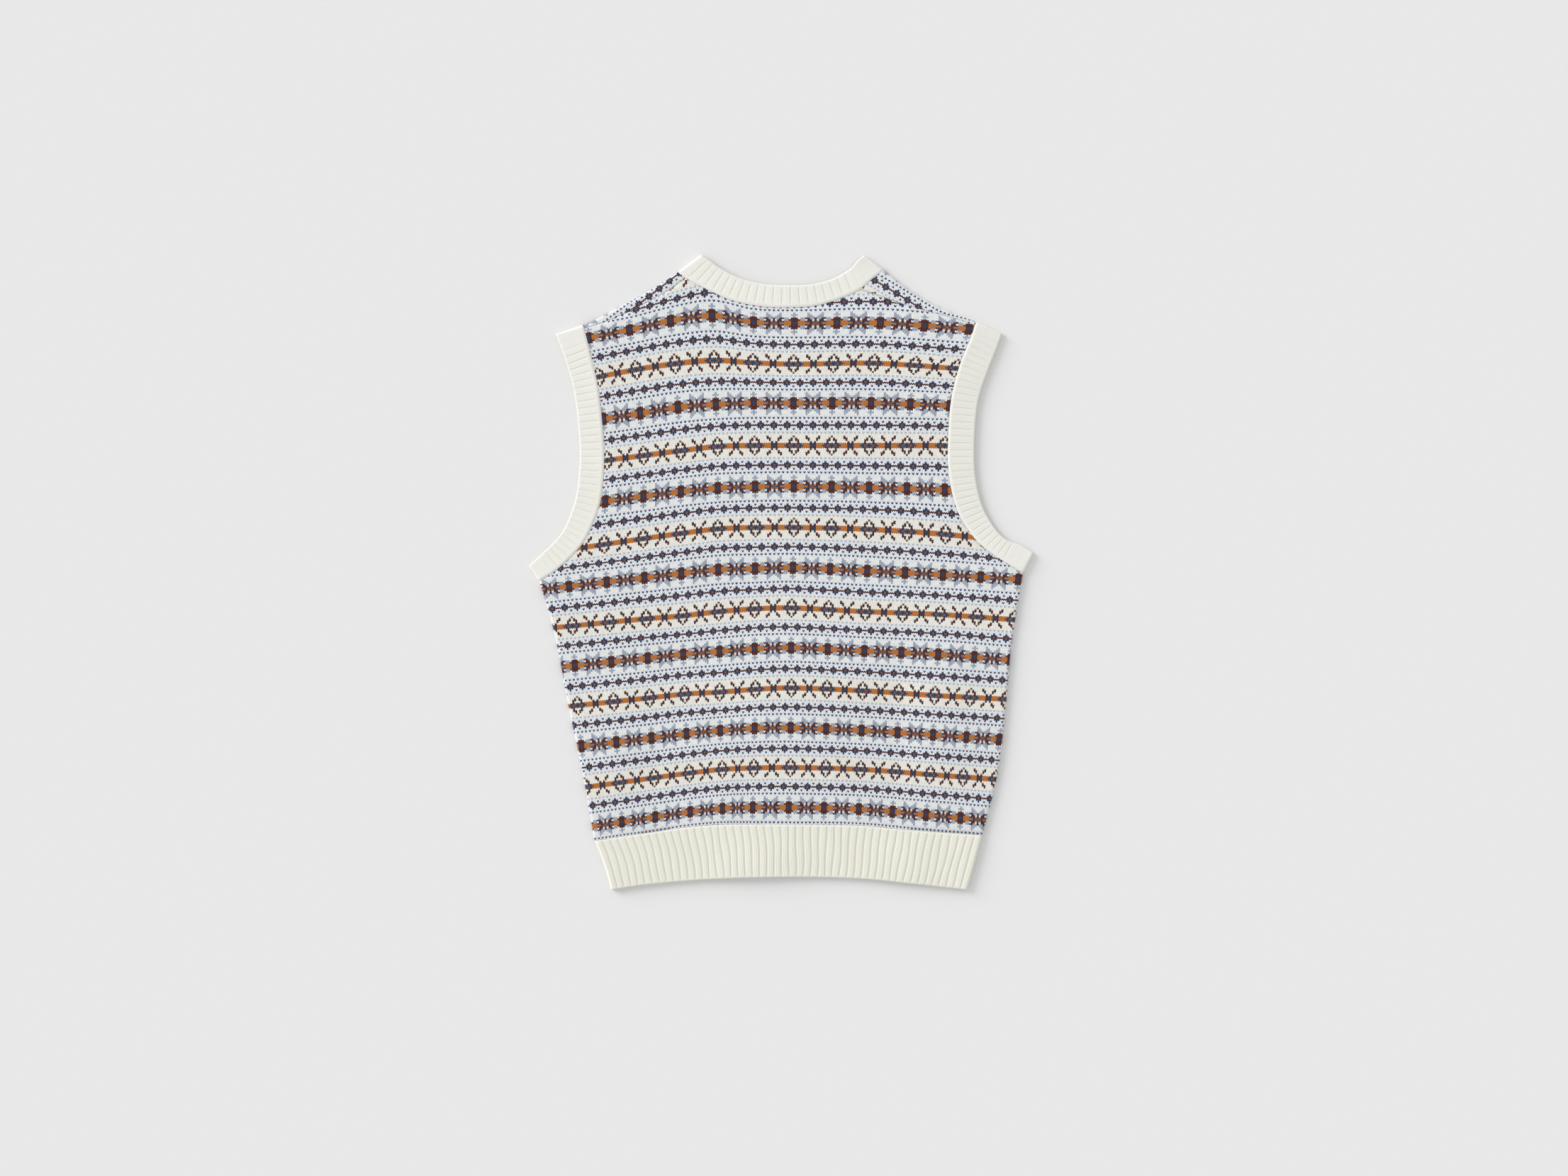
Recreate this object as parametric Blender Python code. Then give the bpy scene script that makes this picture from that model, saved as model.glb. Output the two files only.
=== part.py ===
"""A jacquard sweater vest, laid flat with its back up.

Blender's metres, +Z up, +Y towards the neck, +X to the right seen from above. The origin is
on the surface the vest lies on, under the middle of its outline. Sizes below are millimetres.

The vest is two layers of knitted cloth. The front lies face down on the surface, the back
lies on it, and half of the small gap between them is at SEAM_HEIGHT. Rib bands finish the
neck and the armholes. Each is one ring, flattened: its back half lies on its front half, and
it turns over at a fold at each end. Neighbouring pieces meet along one shared chain of
points in plan, and the panels keep SEAM_GAP clear of it.
"""

import math

import bmesh
import bpy
from mathutils import Vector

MM = 0.001

# ---- cloth
CLOTH_WALL = 2.4          # jersey, and rib in its grooves
RIB_RISE = 0.7            # a rib's crest above its grooves
LAYER_GAP = 0.6           # between the back and the front
SEAM_GAP = 0.3            # between two pieces that are sewn together
FOLD_RADIUS = CLOTH_WALL + LAYER_GAP / 2
SEAM_HEIGHT = FOLD_RADIUS
EDGE_WALL = 0.7           # what is left of a wall at a side seam, where it rounds away
EDGE_STEP = 0.9           # first line of outer points inside an edge that rounds
EDGE_BASE = 0.6           # the same for the inner points
SEAM_FLAT = 3.0           # the plain strip between the ribs' ends and the seam
CREST_SHARE = (0.2, 0.8)  # a rib's crest runs between these shares of its pitch

# ---- ribs on the side that shows
HEM_RIBS = 50
ARMHOLE_RIBS = 38
NECK_RIBS = 24

# ---- mesh density: cells between named places
SIDE_ROWS = {"back": 9, "front": 5}
ARMHOLE_ROWS = 12
SHOULDER_COLUMNS = 6
NECK_COLUMNS = 12
PLAIN_STEPS = 20          # steps along the plain lower half of a band
FOLD_ANGLES = (55, 20, -20, -55)
STRIP_ROWS = 2
FRONT_NECK_STEPS = 12

# ---- outline, seen from above: (x, y)
HEM_EDGE = [(-180, -336), (-136, -329.8), (-64, -324.2), (12, -322.4), (80, -324), (132, -328.8),
            (196.5, -336)]
HEM_SEAM = [(-197.5, -281.5), (-136, -273.2), (-64, -266.4), (8, -264.3), (80, -266.2),
            (152, -270.8), (213, -277)]
SIDE_SEAM = {
    "left": [(-197.5, -281.5), (-210.5, -209), (-225, -141), (-236.3, -80), (-245.2, -44)],
    "right": [(213, -277), (229.5, -209), (237.5, -141), (243, -80), (248.4, -44)],
}
HEM_SIDE = {
    "left": [(-197.5, -281.5), (-187.5, -309), (-180, -336)],
    "right": [(213, -277), (204.5, -309), (196.5, -336)],
}

# The fold over each shoulder, from the neckband's free edge to the armhole band's.
SHOULDER_FOLD = {
    "left": [
        # place, x, y
        ("neck edge", -84.0, 335.6),
        ("neck seam", -108.8, 317.2),
        ("inner shoulder", -136.5, 299.2),
        ("mid shoulder", -166.5, 282.7),
        ("outer shoulder", -196.5, 267.0),
        ("armhole seam", -209.3, 261.0),
        ("armhole edge", -238.3, 252.0),
    ],
    "right": [
        ("neck edge", 87.0, 335.2),
        ("neck seam", 108.0, 319.4),
        ("inner shoulder", 133.5, 299.2),
        ("mid shoulder", 163.5, 281.3),
        ("outer shoulder", 193.5, 269.3),
        ("armhole seam", 206.0, 264.4),
        ("armhole edge", 234.0, 252.6),
    ],
}
NECK_PLACE = 1            # rows of SHOULDER_FOLD where a seam crosses the fold
ARMHOLE_PLACE = 5

# The fold of each armhole band under the arm: its free edge, then its seam.
UNDERARM_FOLD = {
    "left": [(-267.4, 6.7), (-255.6, -9.8)],
    "right": [(267.4, 20.2), (255.8, -1.0)],
}

# Crosswise lines of the armhole bands, from under the arm to the shoulder.
ARMHOLE_BAND = {
    "left": [
        # free edge x, y, seam x, y
        (-252.0, 20.2, -237.0, 2.6),
        (-237.0, 35.2, -218.0, 20.5),
        (-227.2, 50.2, -205.0, 38.4),
        (-217.0, 79.5, -191.2, 73.7),
        (-213.0, 118.0, -187.0, 118.0),
        (-214.8, 158.0, -189.3, 160.5),
        (-219.6, 193.0, -194.0, 198.1),
        (-228.0, 223.0, -202.0, 233.0),
    ],
    "right": [
        (253.5, 28.5, 244.0, 6.0),
        (237.0, 35.2, 223.0, 19.4),
        (223.5, 50.2, 204.2, 35.8),
        (211.5, 74.0, 185.8, 66.0),
        (204.9, 108.0, 176.9, 106.5),
        (204.9, 146.0, 176.8, 147.5),
        (208.5, 181.0, 180.2, 185.2),
        (217.5, 209.5, 189.4, 220.5),
        (227.5, 235.0, 200.6, 248.0),
    ],
}

# Crosswise lines of the neckband's back arc, from the left shoulder to the right.
NECKBAND_BACK = [
    # free edge x, y, seam x, y
    (-78.0, 331.2, -101.5, 310.9),
    (-61.5, 319.5, -76.5, 297.7),
    (-41.0, 309.7, -50.2, 286.5),
    (-16.5, 304.1, -19.5, 280.4),
    (8.2, 303.0, 8.2, 279.6),
    (32.2, 304.1, 36.0, 281.4),
    (54.7, 310.0, 62.5, 289.0),
    (73.4, 321.0, 83.0, 298.4),
    (80.8, 329.5, 95.4, 309.0),
]
LEFT_SHOULDER_LINE = 1    # lines of the neckband, counted from its left fold,
RIGHT_SHOULDER_LINE = 8   # at which the shoulder seams meet it

# Shoulder seams on the back, between the neckband and the armhole band.
SHOULDER_SEAM = {
    "left": [(-114.7, 300.6), (-135, 288.8), (-166.5, 273), (-187.5, 264.2)],
    "right": [(104.2, 291.8), (126, 284.2), (148.5, 277.6), (179.2, 269.6)],
}
STRIP_AT_ARMHOLE = 3.8    # width of the front's strip on the back, where it ends at the band
FRONT_NECK_DROP = 96      # neck seam of the front, below its shoulder folds
BAND_WIDTH = 24           # of the neckband in front

# Soft ridges in the back, where the cloth lifts off the front.
RIDGES = [
    # crest x, y, reach left, right, down, up, rise
    (30, -150, 150, 92, 190, 130, 2.4),
    (-178, -190, 42, 54, 95, 90, 1.5),
    (165, -140, 46, 62, 150, 130, 1.4),
    (-16, -326, 62, 72, 40, 60, 1.5),
    (128, -322, 56, 58, 40, 60, 0.9),
]

# ---- colours, roughness
IVORY = ((0.80, 0.78, 0.69, 1.0), 0.9)
JACQUARD = ((0.52, 0.51, 0.51, 1.0), 0.9)


def clear_scene():
    for old in list(bpy.data.objects):
        bpy.data.objects.remove(old, do_unlink=True)


# ---- curves in plan

def vectors(rows):
    return [Vector((row[-2], row[-1], 0)) for row in rows]


def smooth_at(points, place):
    """The Catmull-Rom curve through the points. Place counts points from 0."""
    last = len(points) - 1
    i = min(max(int(math.floor(place)), 0), last - 1)
    t = place - i
    p1, p2 = points[i], points[i + 1]
    p0 = points[i - 1] if i > 0 else 2 * p1 - p2
    p3 = points[i + 2] if i + 2 <= last else 2 * p2 - p1
    return 0.5 * (2 * p1 + (p2 - p0) * t + (2 * p0 - 5 * p1 + 4 * p2 - p3) * t * t
                  + (3 * p1 - p0 - 3 * p2 + p3) * t * t * t)


def even_places(points, steps, fine=12):
    """Places on the smooth curve that part it into steps of equal length."""
    count = (len(points) - 1) * fine
    places = [i / fine for i in range(count + 1)]
    reach = [0.0]
    for a, b in zip(places, places[1:]):
        reach.append(reach[-1] + (smooth_at(points, b) - smooth_at(points, a)).length)
    found = []
    i = 0
    for step in range(steps + 1):
        want = reach[-1] * step / steps
        while i < count - 1 and reach[i + 1] < want:
            i += 1
        part = (want - reach[i]) / (reach[i + 1] - reach[i])
        found.append(places[i] + min(part, 1.0) / fine)
    return found


def even_points(points, steps):
    return [smooth_at(points, place) for place in even_places(points, steps)]


def on_chain(chain, share):
    """A point on the straight links of a chain. Each link is one equal share."""
    place = share * (len(chain) - 1)
    i = min(int(place), len(chain) - 2)
    return chain[i].lerp(chain[i + 1], place - i)


def to_left(chain):
    """Unit plan normals at a chain's points, to the left of its direction."""
    normals = []
    for i in range(len(chain)):
        along = chain[min(i + 1, len(chain) - 1)] - chain[max(i - 1, 0)]
        normals.append(Vector((-along.y, along.x, 0)).normalized())
    return normals


# ---- where the cloth turns over

def fold_point(side, place):
    return smooth_at(vectors(SHOULDER_FOLD[side]), place)


def fold_outward(side, place):
    step = 0.05
    along = fold_point(side, place + step) - fold_point(side, place - step)
    outward = Vector((along.y, -along.x, 0)).normalized()
    return outward if side == "left" else -outward


def fold_base(side, place):
    """The line about which the cloth turns, one radius inside the outline."""
    return fold_point(side, place) - FOLD_RADIUS * fold_outward(side, place)


def underarm_outward(side):
    free, seam = vectors(UNDERARM_FOLD[side])
    along = (seam - free).normalized()
    outward = Vector((along.y, -along.x, 0))
    return outward if side == "left" else -outward


def underarm_base(side):
    return [p - FOLD_RADIUS * underarm_outward(side) for p in vectors(UNDERARM_FOLD[side])]


def turned(base, outward, reach, angle):
    """A point at that reach from a fold's line: 90 degrees is on top, -90 underneath."""
    turn = math.radians(angle)
    return base + Vector((outward.x * reach * math.cos(turn), outward.y * reach * math.cos(turn),
                          SEAM_HEIGHT + reach * math.sin(turn)))


# ---- chains that pieces share

def band_edges(side):
    """Smooth points of an armhole band's two edges, fold line to fold line."""
    under_free, under_seam = underarm_base(side)
    rows = ARMHOLE_BAND[side]
    last = len(SHOULDER_FOLD[side]) - 1
    free = [under_free] + [Vector((r[0], r[1], 0)) for r in rows] + [fold_base(side, last)]
    seam = [under_seam] + [Vector((r[2], r[3], 0)) for r in rows] + [fold_base(side, ARMHOLE_PLACE)]
    return free, seam


def armhole_chain(side):
    """The armhole seam, from under the arm to the shoulder fold."""
    return even_points(band_edges(side)[1], ARMHOLE_ROWS)


def neck_edges():
    """Smooth points of the neckband's back edges, left fold line to right fold line."""
    free = [Vector((r[0], r[1], 0)) for r in NECKBAND_BACK]
    seam = [Vector((r[2], r[3], 0)) for r in NECKBAND_BACK]
    free = [fold_base("left", 0)] + free + [fold_base("right", 0)]
    seam = [fold_base("left", NECK_PLACE)] + seam + [fold_base("right", NECK_PLACE)]
    return free, seam


def neck_chain():
    """The neck seam on the back panel, between the shoulder seams."""
    seam = neck_edges()[1][LEFT_SHOULDER_LINE:RIGHT_SHOULDER_LINE + 1]
    return even_points(seam, NECK_COLUMNS)


def front_neck_edges():
    """The two edges of the neckband's front arc, free and seam: each is half an ellipse."""
    chains = []
    seam_rise = fold_base("left", 0).y - fold_base("left", NECK_PLACE).y
    free_drop = FRONT_NECK_DROP + seam_rise - BAND_WIDTH
    for place, drop in ((0, free_drop), (NECK_PLACE, FRONT_NECK_DROP)):
        left, right = fold_base("left", place), fold_base("right", place)
        middle, half = (left + right) / 2, (right - left) / 2
        chain = []
        for i in range(FRONT_NECK_STEPS + 1):
            turn = math.pi * i / FRONT_NECK_STEPS
            chain.append(middle - half * math.cos(turn) + Vector((0, -drop * math.sin(turn), 0)))
        chains.append(chain)
    return chains


def shoulder_chain(side):
    """The shoulder seam on the back, from the armhole band to the neckband."""
    armhole = band_edges(side)[1]
    corner = fold_base(side, ARMHOLE_PLACE)
    towards = (armhole[-2] - corner).normalized()
    end = corner + towards * (STRIP_AT_ARMHOLE - FOLD_RADIUS)
    line = LEFT_SHOULDER_LINE if side == "left" else RIGHT_SHOULDER_LINE
    neck = neck_edges()[1][line]
    return even_points([end] + vectors(SHOULDER_SEAM[side])[::-1] + [neck], SHOULDER_COLUMNS)


def side_chain(side, rows):
    seam = vectors(UNDERARM_FOLD[side])[1]
    return even_points(vectors(SIDE_SEAM[side]) + [seam], rows)


# ---- heights

def bump(offset, reach_back, reach_on):
    share = offset / (reach_on if offset > 0 else reach_back)
    return math.cos(math.pi / 2 * share) ** 2 if abs(share) < 1 else 0.0


def relief(point):
    """How far the back has lifted at a point, over the ridges."""
    rise = 0.0
    for x, y, left, right, down, up, height in RIDGES:
        rise += height * bump(point.x - x, left, right) * bump(point.y - y, down, up)
    return rise


def rounding(inward):
    """A wall's outer reach from the seam height, this far inside a side seam."""
    if inward >= FOLD_RADIUS:
        return FOLD_RADIUS
    share = 1 - inward / FOLD_RADIUS
    return max(FOLD_RADIUS * math.sqrt(1 - share * share), LAYER_GAP / 2 + EDGE_WALL)


# ---- solids

def finish(name, faces, coat):
    """One closed object from faces given as lists of points in millimetres."""
    mesh = bpy.data.meshes.new(name)
    body = bmesh.new()
    known = {}
    for face in faces:
        corners = []
        for point in face:
            key = (round(point.x, 4), round(point.y, 4), round(point.z, 4))
            if key not in known:
                known[key] = body.verts.new(Vector(key) * MM)
            if known[key] not in corners:
                corners.append(known[key])
        if len(corners) > 2:
            body.faces.new(corners)
    bmesh.ops.triangulate(body, faces=body.faces)
    bmesh.ops.recalc_face_normals(body, faces=body.faces)
    body.to_mesh(mesh)
    body.free()
    piece = bpy.data.objects.new(name, mesh)
    bpy.context.scene.collection.objects.link(piece)
    piece.data.materials.append(cloth_material(name, *coat))
    return piece


def cloth_material(name, colour, roughness):
    material = bpy.data.materials.new(name + "_cloth")
    material.use_nodes = True
    shader = material.node_tree.nodes["Principled BSDF"]
    shader.inputs["Base Color"].default_value = colour
    shader.inputs["Roughness"].default_value = roughness
    shader.inputs["Metallic"].default_value = 0.0
    return material


def lofted(sections, closed):
    """Faces round a row of sections. A row that isn't closed gets its two ends."""
    faces = []
    count = len(sections)
    around = len(sections[0])
    for i in range(count if closed else count - 1):
        a, b = sections[i], sections[(i + 1) % count]
        for k in range(around):
            n = (k + 1) % around
            faces.append([a[k], b[k], b[n], a[n]])
    if not closed:
        faces.append(sections[0])
        faces.append(sections[-1][::-1])
    return faces


def walled(outer, inner, cells):
    """Faces of a sheet of cloth from its outer and inner points, over the cells it covers."""
    faces = []
    rims = {}
    for i, j in cells:
        ring = [(i, j), (i + 1, j), (i + 1, j + 1), (i, j + 1)]
        faces.append([outer[c] for c in ring])
        faces.append([inner[c] for c in ring[::-1]])
        for a, b in zip(ring, ring[1:] + ring[:1]):
            if (b, a) in rims:
                del rims[(b, a)]
            else:
                rims[(a, b)] = True
    for a, b in rims:
        faces.append([outer[a], inner[a], inner[b], outer[b]])
    return faces


# ---- panels

def patch(bottom, top, left, right):
    """Plan points (column, row) that fill four chains: bottom and top run left to right."""
    points = {}
    columns, rows = len(bottom) - 1, len(left) - 1
    for i in range(columns + 1):
        for j in range(rows + 1):
            u, v = i / columns, j / rows
            across = left[j] * (1 - u) + right[j] * u
            upward = bottom[i] * (1 - v) + top[i] * v
            corners = ((bottom[0] * (1 - u) + bottom[-1] * u) * (1 - v)
                       + (top[0] * (1 - u) + top[-1] * u) * v)
            points[i, j] = across + upward - corners
    return points


def outer_edge(side, rows):
    """A panel's edge from the hem seam to the shoulder fold, and its step off the armhole."""
    below = side_chain(side, rows)
    above = armhole_chain(side)
    normals = to_left(above)
    inward = -1 if side == "left" else 1
    steps = [Vector((0, 0, 0))] * rows + [normals[0] * inward * SEAM_GAP]
    steps += [n * inward * SEAM_GAP for n in normals]
    return below + above, steps


def with_edge_columns(points, columns, rows):
    """The same plan points with two columns more along each side, where the wall rounds."""
    wider = {}
    for j in range(rows + 1):
        line = [points[i, j] for i in range(columns + 1)]
        start = (line[1] - line[0]).normalized()
        end = (line[-2] - line[-1]).normalized()
        line[1:1] = [line[0] + start * EDGE_STEP, line[0] + start * FOLD_RADIUS]
        line[-1:-1] = [line[-1] + end * FOLD_RADIUS, line[-1] + end * EDGE_STEP]
        for i, point in enumerate(line):
            wider[i, j] = point
    return wider, columns + 4


def panel_reach(points, columns, rows, side_rows):
    """Outer reach of a panel's wall from the seam height at each of its points."""
    reach = {}
    for i in range(columns + 1):
        for j in range(rows + 1):
            inward = min((points[i, j] - points[0, j]).length,
                         (points[i, j] - points[columns, j]).length)
            reach[i, j] = rounding(inward) if j <= side_rows else FOLD_RADIUS
    return reach


def raised(point, height):
    return Vector((point.x, point.y, height))


def make_back_panel():
    side_rows = SIDE_ROWS["back"]
    left, left_steps = outer_edge("left", side_rows)
    right, right_steps = outer_edge("right", side_rows)
    left[-1], right[-1] = shoulder_chain("left")[0], shoulder_chain("right")[0]
    shoulders = [shoulder_chain("left"), shoulder_chain("right")[::-1]]
    top = shoulders[0][:-1] + neck_chain() + shoulders[1][1:]
    down = [-n * SEAM_GAP for n in to_left(top)]
    columns, rows = len(top) - 1, len(left) - 1
    bottom = even_points(vectors(HEM_SEAM), columns)
    plan = patch(bottom, top, left, right)
    for j in range(rows + 1):
        plan[0, j] = plan[0, j] + left_steps[j]
        plan[columns, j] = plan[columns, j] + right_steps[j]
    for i in range(columns + 1):
        plan[i, 0] = plan[i, 0] + Vector((0, SEAM_GAP, 0))
        plan[i, rows] = plan[i, rows] + down[i]
    plan, columns = with_edge_columns(plan, columns, rows)
    reach = panel_reach(plan, columns, rows, side_rows)
    outer, inner = {}, {}
    for place, point in plan.items():
        lift = SEAM_HEIGHT + relief(point)
        outer[place] = raised(point, lift + reach[place])
        inner[place] = raised(point, lift + LAYER_GAP / 2)
    cells = [(i, j) for i in range(columns) for j in range(rows)]
    return finish("back_panel", walled(outer, inner, cells), JACQUARD)


def front_top():
    """The front's upper edge in the lower layer: fold lines and the neck between them."""
    chains = []
    for side in ("left", "right"):
        places = [ARMHOLE_PLACE + (NECK_PLACE - ARMHOLE_PLACE) * i / SHOULDER_COLUMNS
                  for i in range(SHOULDER_COLUMNS + 1)]
        chains.append([(fold_base(side, p), fold_outward(side, p)) for p in places])
    neck = front_neck_edges()[1]
    top = [base for base, outward in chains[0][:-1]] + neck
    top += [base for base, outward in chains[1][::-1][1:]]
    return top, chains[0], chains[1]


def make_front_panel():
    side_rows = SIDE_ROWS["front"]
    left, left_steps = outer_edge("left", side_rows)
    right, right_steps = outer_edge("right", side_rows)
    top, left_fold, right_fold = front_top()
    columns, rows = len(top) - 1, len(left) - 1
    bottom = even_points(vectors(HEM_SEAM), columns)
    plan = patch(bottom, top, left, right)
    for j in range(rows + 1):
        plan[0, j] = plan[0, j] + left_steps[j]
        plan[columns, j] = plan[columns, j] + right_steps[j]
    neck_first, neck_last = SHOULDER_COLUMNS, columns - SHOULDER_COLUMNS
    down = [-n * SEAM_GAP for n in to_left(top[neck_first:neck_last + 1])]
    for i in range(columns + 1):
        plan[i, 0] = plan[i, 0] + Vector((0, SEAM_GAP, 0))
        if neck_first < i < neck_last:
            plan[i, rows] = plan[i, rows] + down[i - neck_first]

    # Steps that keep the parts over each shoulder clear of the two bands beside them.
    folds = {}
    for first, fold, sign in ((0, left_fold, 1), (neck_last, right_fold[::-1], -1)):
        chain = shoulder_chain("left") if first == 0 else shoulder_chain("right")[::-1]
        for k in range(SHOULDER_COLUMNS + 1):
            base, outward = fold[k]
            along = Vector((outward.y, -outward.x, 0))
            clear = 0.0
            if k == 0:
                clear = SEAM_GAP
            elif k == SHOULDER_COLUMNS:
                clear = -SEAM_GAP
            folds[first + k] = (base + along * clear, outward, chain[k] + along * clear)
            plan[first + k, rows] = base + along * clear

    wide, wide_columns = with_edge_columns(plan, columns, rows)
    reach = panel_reach(wide, wide_columns, rows, side_rows)
    outer, inner = {}, {}
    for place, point in wide.items():
        outer[place] = raised(point, SEAM_HEIGHT - reach[place])
        inner[place] = raised(point, SEAM_HEIGHT - LAYER_GAP / 2)
    cells = [(i, j) for i in range(wide_columns) for j in range(rows)]

    angles = sorted(FOLD_ANGLES) + [90]
    for i in range(wide_columns + 1):
        base, outward, end = shoulder_line(folds, i, wide_columns)
        if base is None:
            continue
        for step, angle in enumerate(angles):
            outer[i, rows + 1 + step] = turned(base, outward, FOLD_RADIUS, angle)
            inner[i, rows + 1 + step] = turned(base, outward, LAYER_GAP / 2, angle)
        for step in range(1, STRIP_ROWS + 1):
            point = base.lerp(end, step / STRIP_ROWS)
            row = rows + len(angles) + step
            outer[i, row] = raised(point, SEAM_HEIGHT + FOLD_RADIUS)
            inner[i, row] = raised(point, SEAM_HEIGHT + LAYER_GAP / 2)
    for i in range(wide_columns):
        if (i, rows + 1) in outer and (i + 1, rows + 1) in outer and not over_neck(i, wide_columns):
            cells += [(i, rows + k) for k in range(len(angles) + STRIP_ROWS)]
    return finish("front_panel", walled(outer, inner, cells), JACQUARD)


def over_neck(i, wide_columns):
    first = SHOULDER_COLUMNS + 2
    return first <= i < wide_columns - first


def shoulder_line(folds, i, wide_columns):
    """Fold line, outward direction and seam point of a front panel's column."""
    first = SHOULDER_COLUMNS + 2
    if first < i < wide_columns - first:
        return None, None, None
    last = max(folds)
    if i in (0, wide_columns):
        return folds[0 if i == 0 else last]
    if i in (1, 2, wide_columns - 2, wide_columns - 1):
        near = 0 if i < 3 else last
        nextdoor = 1 if i < 3 else last - 1
        inset = EDGE_STEP if i in (1, wide_columns - 1) else FOLD_RADIUS
        base, outward, end = folds[near]
        other = folds[nextdoor]
        share = inset / (other[0] - base).length
        return (base.lerp(other[0], share), outward.lerp(other[1], share).normalized(),
                end.lerp(other[2], share))
    return folds[i - 2]


# ---- bands

def rib_stations(ribs):
    """Shares along a band and the rise there: groove, crest start, crest end for each rib."""
    stations = []
    for rib in range(ribs):
        stations.append((rib / ribs, 0.0))
        for share in CREST_SHARE:
            stations.append(((rib + share) / ribs, RIB_RISE))
    stations.append((1.0, 0.0))
    return stations


def band_section(free, seam, outward_free, outward_seam, angle, rise):
    """A band's section: along the inner face, round the free edge, back along the outer."""
    span = seam - free
    width = span.length
    spots = [
        # share from the free edge, reach from the seam height
        (1.0, LAYER_GAP / 2),
        (EDGE_BASE / width, LAYER_GAP / 2),
        (0.0, LAYER_GAP / 2 + 0.5 * CLOTH_WALL),
        (EDGE_STEP / width, FOLD_RADIUS + rise),
        (1 - SEAM_FLAT / width, FOLD_RADIUS + rise),
        (1.0, FOLD_RADIUS),
    ]
    points = []
    for share, reach in spots:
        outward = outward_free.lerp(outward_seam, share)
        points.append(turned(free + span * share, outward, reach, angle))
    return points


def make_band(name, back, front, start, end, ribs):
    """One flattened ring of rib. Back and front give (free, seam) at a share along the band,
    and start and end give the outward directions (free, seam) at its two folds."""
    nowhere = Vector((0, 0, 0))
    sections = []
    for share, rise in rib_stations(ribs):
        free, seam = back(share)
        sections.append(band_section(free, seam, nowhere, nowhere, 90, rise))
    free, seam = back(1.0)
    for angle in FOLD_ANGLES:
        sections.append(band_section(free, seam, end[0], end[1], angle, RIB_RISE))
    for step in range(PLAIN_STEPS, -1, -1):
        free, seam = front(step / PLAIN_STEPS)
        sections.append(band_section(free, seam, nowhere, nowhere, -90, 0.0))
    free, seam = back(0.0)
    for angle in FOLD_ANGLES[::-1]:
        sections.append(band_section(free, seam, start[0], start[1], angle, RIB_RISE))
    return finish(name, lofted(sections, closed=True), IVORY)


def make_armhole_band(side):
    free_edge, seam_edge = band_edges(side)
    seam_places = even_places(seam_edge, ARMHOLE_ROWS)
    chain = [smooth_at(seam_edge, place) for place in seam_places]

    def crosswise(share):
        place = share * ARMHOLE_ROWS
        i = min(int(place), ARMHOLE_ROWS - 1)
        at = seam_places[i] + (seam_places[i + 1] - seam_places[i]) * (place - i)
        return smooth_at(free_edge, at), on_chain(chain, share)

    last = len(SHOULDER_FOLD[side]) - 1
    under = underarm_outward(side)
    shoulder = (fold_outward(side, last), fold_outward(side, ARMHOLE_PLACE))
    return make_band("armhole_band_" + side, crosswise, crosswise, (under, under), shoulder,
                     ARMHOLE_RIBS)


def make_neckband():
    free_edge, seam_edge = neck_edges()
    last = len(seam_edge) - 1
    inner_lines = seam_edge[LEFT_SHOULDER_LINE:RIGHT_SHOULDER_LINE + 1]
    inner_places = [p + LEFT_SHOULDER_LINE for p in even_places(inner_lines, NECK_COLUMNS)]
    places = [0.0] + inner_places + [RIGHT_SHOULDER_LINE + 1.0, float(last)]
    chain = [seam_edge[0]] + neck_chain() + [seam_edge[-2], seam_edge[-1]]
    reach = [0.0]
    for a, b in zip(chain, chain[1:]):
        reach.append(reach[-1] + (b - a).length)

    def back(share):
        want = share * reach[-1]
        i = 0
        while i < len(chain) - 2 and reach[i + 1] < want:
            i += 1
        part = (want - reach[i]) / (reach[i + 1] - reach[i])
        at = places[i] + (places[i + 1] - places[i]) * part
        return smooth_at(free_edge, at), chain[i].lerp(chain[i + 1], part)

    front_free, front_seam = front_neck_edges()

    def front(share):
        return on_chain(front_free, share), on_chain(front_seam, share)

    start = (fold_outward("left", 0), fold_outward("left", NECK_PLACE))
    end = (fold_outward("right", 0), fold_outward("right", NECK_PLACE))
    return make_band("neckband", back, front, start, end, NECK_RIBS)


# ---- hem

def hem_stations(ribs, width):
    """Shares across the hem and the rise there, with stations where the sides round."""
    if ribs:
        stations = rib_stations(ribs)
    else:
        stations = [(i / PLAIN_STEPS, 0.0) for i in range(PLAIN_STEPS + 1)]
    edges = (EDGE_STEP / width, FOLD_RADIUS / width)
    clear = (FOLD_RADIUS + EDGE_STEP) / width
    inside = [s for s in stations if clear < s[0] < 1 - clear]
    crest = stations[1][1]
    first = [(0.0, 0.0), (edges[0], 0.0), (edges[1], crest)]
    last = [(1 - edges[1], crest), (1 - edges[0], 0.0), (1.0, 0.0)]
    return first + inside + last


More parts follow.
